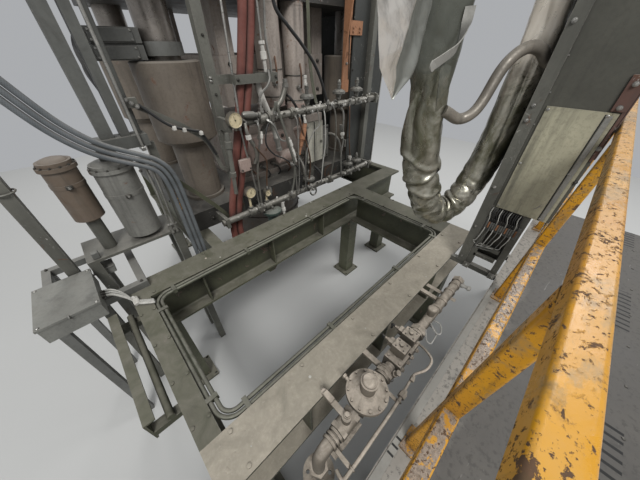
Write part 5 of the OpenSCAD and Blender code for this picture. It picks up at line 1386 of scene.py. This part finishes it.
def add_gas_trim():
    """Tubes, plugs, bolts, cables and caps of the gas train."""
    form = Form("gas_trim")
    rng = random.Random(5)
    form.tube([(191, 100, 1326), (186, 64, 1340), (230, 57, 1348), (420, 57, 1350), (600, 59, 1350),
               (640, 62, 1350)], 9, "gas", 10, 6)
    for x in (235, 585):
        form.block((x - 10, 54, 1337), (x + 10, 160, 1343), "gas", 1.5)
        form.hoop((x, 57, 1350), (1, 0, 0), 11, 3.5, "gas", 16, 6)
    form.turned((606, 60, 1350), (1, 0, 0), [(0, 19), (28, 19), (29, 13), (44, 13)], "gas", 6)
    form.tube([(640, 62, 1350), (690, 66, 1372), (728, 66, 1392), (792, 35, 1398), (859, 40, 1398),
               (890, 90, 1392), (903, 130, 1380)], 7, "gas", 8, 6)
    form.turned((903, 129, 1380), (0, 1, 0), [(0, 12), (14, 12), (16, 9), (22, 9)], "gas", 6)
    form.turned((661, 145, 1372), (0.1, -0.5, 1), [(0, 17), (22, 17), (24, 11), (40, 11), (42, 15), (52, 15)],
                "gas", 6)
    form.turned((690, 60, 1392), (1, 0.1, 0.1), [(0, 11), (16, 11), (18, 8), (30, 8)], "gas", 6)
    for cx in (760, 856):
        for x, y in ((cx - 20, 158), (cx + 20, 158), (cx - 20, 202), (cx + 20, 202)):
            form.turned((x, y, 1484), UP, [(0, 4), (2.5, 4), (3.5, 2.5)], "dark_bolt", 8)
        form.turned((cx, 246, 1452), (0, 1, 0), [(0, 12), (12, 12), (14, 8), (26, 8)], "gas", 8)
        form.tube([(cx, 270, 1452), (cx + 6, 292, 1446), (cx + 20, 300, 1420), (cx + 34, 300, 1380),
                   (cx + 50, 308, 1342)], 6, "black_rubber")
        for x in (cx - 32, cx + 24):
            form.turned((x, 130, 1350), FRONT, [(0, 13), (10, 13), (12, 9), (16, 9)], "gas", 6)
    for x, y in ((716, 146), (884, 146), (716, 214), (884, 214)):
        form.turned((x, y, 1400), UP, [(0, 9), (8, 9), (9, 6), (11, 6)], "gas", 6)
    form.tube([(1080, 148, 1350), (1072, 112, 1356), (1040, 92, 1362), (1000, 88, 1364), (965, 89, 1366),
               (958, 110, 1372), (985, 132, 1376), (1020, 150, 1376)], 4.5, "white_wire", 8, 6)
    form.tube([(1123, 150, 1362), (1126, 116, 1366), (1100, 90, 1368), (1061, 78, 1368), (1046, 96, 1370),
               (1062, 128, 1374), (1085, 150, 1374)], 4.5, "white_wire", 8, 6)
    form.turned((1135, GAS_Y, GAS_Z + 70), UP, [(0, 26), (4, 30), (18, 30), (26, 24), (30, 12)], "gas", 20)
    form.hoop((1135, GAS_Y, GAS_Z + 40), UP, 20, 4, "gas", 18, 6)
    for x in (1220, 1300, 1420, 1500):
        form.turned((x, GAS_Y, GAS_Z), (1, 0, 0), [(0, 34), (3, 36), (15, 36), (18, 34)], "gas", 24)
    form.block((1400, 120, 1317), (1432, 330, 1320), "gas", 1)
    form.turned((1555, GAS_Y - 30, GAS_Z), (0, -1, 0.1),
                [(0, 17), (20, 18), (24, 12), (44, 12), (46, 18), (62, 18), (66, 8)], "plaster", 12)
    form.block((212, 126, 1300), (395, 156, 1309), "gas", 1.5)
    for x in (252, 350):
        form.rod((x, 141, 1309), (x, 160, 1326), 7, "gas", 8)
    hub = Vector((480, GAS_Y, 1540))
    form.turned(hub, UP, [(0, 34), (8, 34), (12, 30), (14, 14)], "gas", 24)
    form.turned((452, 246, 1428), (0, 1, 0.2), [(0, 13), (18, 13), (20, 9), (44, 9), (46, 13), (58, 13)],
                "gas", 8)
    for side in (1, -1):
        form.turned((480 + side * 22, GAS_Y - 46, 1372), (side * 0.3, -1, 0.2),
                    [(0, 12), (12, 12), (14, 8), (22, 8)], "gas", 6)
    form.hoop((335, GAS_Y, 1446), UP, 13, 3, "gas", 16, 6)
    form.nut((335, GAS_Y, 1450), UP, 12, "gas")
    for x in (622, 646, 660):
        form.hoop((x, GAS_Y, GAS_Z), (1, 0, 0), 45 if x != 646 else 51, 2, "gas", 24, 5)
    for k in range(70):
        a = rng.uniform(0, 2 * math.pi)
        x = rng.uniform(240, 1560)
        size = rng.uniform(3, 8)
        y = GAS_Y + rng.uniform(-18, 18)
        top = GAS_Z + math.sqrt(max(0, 30 ** 2 - (y - GAS_Y) ** 2)) - 1.5
        form.turned((x, y, top), (0.2 * math.cos(a), 0.2 * math.sin(a), 1),
                    [(0, size * 1.4), (size * 0.25, size), (size * 0.4, size * 0.4)], "gas", 7)
    return form.done()


def add_lever_grip():
    """A worn grip skin near the lever's end."""
    form = Form("lever_grip", "gas_lever")
    form.block((320, 262, 1411), (350, 318, 1436), "gas", 3)
    return form.done()


def add_cabinet_trim():
    """Screws, scuffs, the rusted bracket, terminals and the wires below the cabinet."""
    form = Form("cabinet_trim")
    face = (-1, 0, 0)
    for y in (-26, 196):
        for z in (1894, 2172, 2450):
            form.turned((CABINET_FACE, y, z), face, [(0, 7), (2.5, 7), (4, 4.5)], "bolt", 12)
    for z in (1420, 1700, 2000, 2390, 2461, 2790, 3060, 3330):
        form.bolt((CABINET_FACE, 262, z), face, 9, "bolt")
    for z in (2669, 2522, 2375):
        form.block((1797, 219, z - 3), (1799.8, 254, z + 3), "edge_steel", 0.8)
    form.block((1790.6, -21, 1883), (CABINET_FACE, -16, 2456), "black_rubber", 0.4)
    form.block((1789, -44, 1883), (CABINET_FACE, -23, 2452), "edge_steel", 0.8)
    form.block((CABINET_FACE, -75, 2250), (1799.7, -62, 2610), "rust_block", 2)
    form.block((1790, -75, 2470), (1799.7, -22, 2610), "rust_block", 2)
    form.block((1801, -82, 2260), (1850, -75.3, 2600), "rust_block", 2)
    for y, z in ((-46, 2487), (-46, 2577), (-68, 2314)):
        form.bolt((1790 if z > 2400 else CABINET_FACE, y, z), face, 9, "bolt")
    form.bolt((1800, -67, 2139), face, 9, "dark_bolt")
    form.block((1794, 20, 1700), (1799.7, 225, 1790), "box", 2)
    form.block((1842, 24, 1470), (1846, 222, 1884), "dark_bolt", 1)
    for k in range(14):
        y = 34 + 13 * k
        form.block((1782, y, 1722), (1794, y + 10, 1768), "box" if k % 4 else "rust", 1.5)
        form.tube([(1788, y + 5, 1768), (1780, y + 5, 1800), (1784, y + 12 + 2 * (k % 3), 1840),
                   (1815, y + 8, 1881)], 3.2, "white_wire" if k % 4 == 1 else "black_rubber", 6, 4)
        if k % 2:
            form.tube([(1788, y + 5, 1722), (1778, y + 5, 1690), (1780, y + 20, 1640 - 12 * (k % 5)),
                       (1790, y + 36, 1600 - 14 * (k % 4)), (1800, 205, 1560 - 10 * (k % 4))], 3.2,
                       "white_wire" if k % 4 == 1 else "box", 6, 4)
    for z in (1460, 1540):
        form.block((1800, 60, z), (1830, 200, z + 26), "rack", 2)
    for y in (30, 205):
        for x in (1760, 2130):
            form.bolt((x, y, 1378), UP, 11, "bolt")
    for z in (2100, 2700, 3200):
        form.turned((2176, -30, z), UP, [(0, 8), (50, 8)], "dark_bolt", 10)
    form.block((2150, 60, 2100), (2156, 240, 3000), "cover", 2)
    for z in (2120, 2980):
        for y in (75, 225):
            form.turned((2156, y, z), (1, 0, 0), [(0, 7), (3, 7), (5, 4)], "bolt", 10)
    form.turned((2156, 85, 2550), (1, 0, 0), [(0, 13), (5, 13), (7, 9), (22, 9), (24, 14), (34, 14)],
                "dark_bolt", 14)
    return form.done()


def add_frame_trim():
    """Bolts, clips and dust lumps on the girder frame, and the walkway's screws and edge strip, whose three
    slots are thin black plates of painted shade.
    """
    form = Form("frame_trim")
    rng = random.Random(12)
    # Near-side pieces take the lit girder copy and far-side ones the shaded copy, as painted light and shade.
    for y in (330, 540, 1590, 1800):
        inward = 1 if y in (330, 1590) else -1
        for k in range(6):
            x = -60 + 420 * k
            form.turned((x, y + inward * 26, GIRDER_TOP), UP, [(0, 11), (6, 11), (8, 8)],
                        "dusty_lit_girder" if y < BAY_MIDDLE else "girder", 6)
    for x in (-178, -102, 2092, 2268):
        for y in (640, 900, 1180, 1460):
            form.turned((x, y, GIRDER_TOP), UP, [(0, 10), (6, 10), (8, 7)], "girder", 6)
    for x in (255, 920, 1585):
        for y0, y1 in ((345, 420), (1605, 1680)):
            form.tube([(x + 9, y0, 1338), (x + 9, (y0 + y1) / 2, 1338), (x + 9, y1, 1338)], 4, "girder", 6, 4)
    for x in [-640 + 300 * k for k in range(13)]:
        for y in (-700, -120):
            form.turned((x, y, DECK_TOP), UP, [(0, 8), (2.5, 7), (3.5, 4)], "dark_bolt", 12)
    form.block((-890, -40, DECK_TOP), (1730, -6, 1364), "edge_steel", 1.5)
    # Three slots drawn as thin black plates: painted shade in place of holes.
    for x in (380, 415, 450):
        form.block((x, -38, 1364), (x + 9, -9, 1364.8), "needle", 0.3)
    for k in range(120):
        y_low, y_high = rng.choice([(335, 535), (1595, 1795)])
        x = rng.uniform(-180, 2040)
        y = rng.uniform(y_low, y_high)
        size = rng.uniform(3, 8)
        own = "dusty_lit_girder" if y < BAY_MIDDLE else "girder"
        form.turned((x, y, 1349.4), (rng.uniform(-0.1, 0.1), rng.uniform(-0.1, 0.1), 1),
                    [(0, size * 1.4), (size * 0.18, size), (size * 0.30, size * 0.3)],
                    rng.choice(["gas", own, "plaster"]) if k % 4 == 0 else own, 7)
    return form.done()


def add_press_trim():
    """Oil pipes, a valve block and bolts of the press above and behind the picture."""
    form = Form("press_trim")
    top = 3970
    form.block((1380, 2240, top), (1700, 2440, top + 150), "cylinder", 6)
    for k in range(4):
        x = 1430 + 74 * k
        form.block((x - 24, 2262, top + 150), (x + 24, 2340, top + 210), "box", 4)
        form.turned((x, 2240, top + 70), FRONT, [(0, 20), (20, 20), (22, 13), (36, 13)], "bolt", 12)
    for k, x in enumerate((1450, 1630)):
        form.tube([(x, 2440, top + 70), (x, 2520, top + 70), (x + 30 * k, 2600, top + 90),
                   (1640 + 120 * k, 2700, top + 160), (1660 + 110 * k, 2790, top + 220),
                   (1665 + 110 * k, 2860, top + 230)], 22, "thin_tube", 12, 6)
    for x in (740, 2760):
        for y in (2450, 3650):
            for spot in around((x, y, 1530), 160, 8, 0.3):
                form.bolt(spot, UP, 15, "dark_bolt")
    for x in (620, 1100, 1750, 2400, 2880):
        form.block((x - 20, 2098, 1380), (x + 20, 2099.7, 1500), "platen", 0.4)
        form.bolt((x, 2100, 1440), FRONT, 17, "dark_bolt")
    for y in (2300, 2700, 3300, 3800):
        form.bolt((450, y, 1440), (-1, 0, 0), 17, "dark_bolt")
        form.bolt((3050, y, 1440), (1, 0, 0), 17, "dark_bolt")
    for x in (700, 1200, 1750, 2300, 2800):
        form.bolt((x, 4000, 1440), (0, 1, 0), 17, "dark_bolt")
    for spot in around((1750, 3050, 1150), 470, 16, 0.1):
        form.bolt(spot, UP, 14, "dark_bolt")
    return form.done()


def add_details():
    for add in (add_gauges, add_valve_trim, add_manifold_lines, add_release_crust, add_rack_trim,
                add_die_trim,
                add_ejector_trim, add_left_lines, add_tank_trim, add_box_trim, add_gas_trim, add_lever_grip,
                add_cabinet_trim, add_frame_trim, add_press_trim):
        add()


# Studio
FLOOR_TONE = (0.50, 0.50, 0.485)


def add_light(name, place, target, size, power):
    data = bpy.data.lights.new(name, "AREA")
    data.shape = "RECTANGLE"
    data.size, data.size_y = size
    data.energy = power
    lamp = bpy.data.objects.new(name, data)
    lamp.location = place
    lamp.rotation_euler = (Vector(target) - Vector(place)).to_track_quat("-Z", "Y").to_euler()
    scene.collection.objects.link(lamp)


def add_studio():
    scene.view_settings.view_transform = "Standard"
    world = bpy.data.worlds.new("studio")
    scene.world = world
    world.use_nodes = True
    sky = world.node_tree.nodes["Background"]
    sky.inputs["Color"].default_value = (0.80, 0.82, 0.85, 1)
    sky.inputs["Strength"].default_value = 0.50
    mesh = bpy.data.meshes.new("floor")
    half = 9.0
    mesh.from_pydata([(-half, -half, 0), (half, -half, 0), (half, half, 0), (-half, half, 0)], [],
                     [(0, 1, 2, 3)])
    floor = bpy.data.objects.new("floor", mesh)
    s = Shade("pale floor")
    mesh.materials.append(s.done(FLOOR_TONE, 0.85))
    scene.collection.objects.link(floor)
    add_light("key", (-5.0, -6.4, 10.8), (0, 0, 1.4), (3.6, 3.6), 1000)
    add_light("fill", (6.5, -3.0, 8.0), (0, 0, 1.5), (4, 4), 300)
    add_light("back", (1.0, 7.0, 8.5), (0, 0, 1.5), (4, 3), 330)


add_camera()
materials = make_materials()
add_hoses()
dress_nodes(materials)
add_cloths()
add_details()
add_studio()
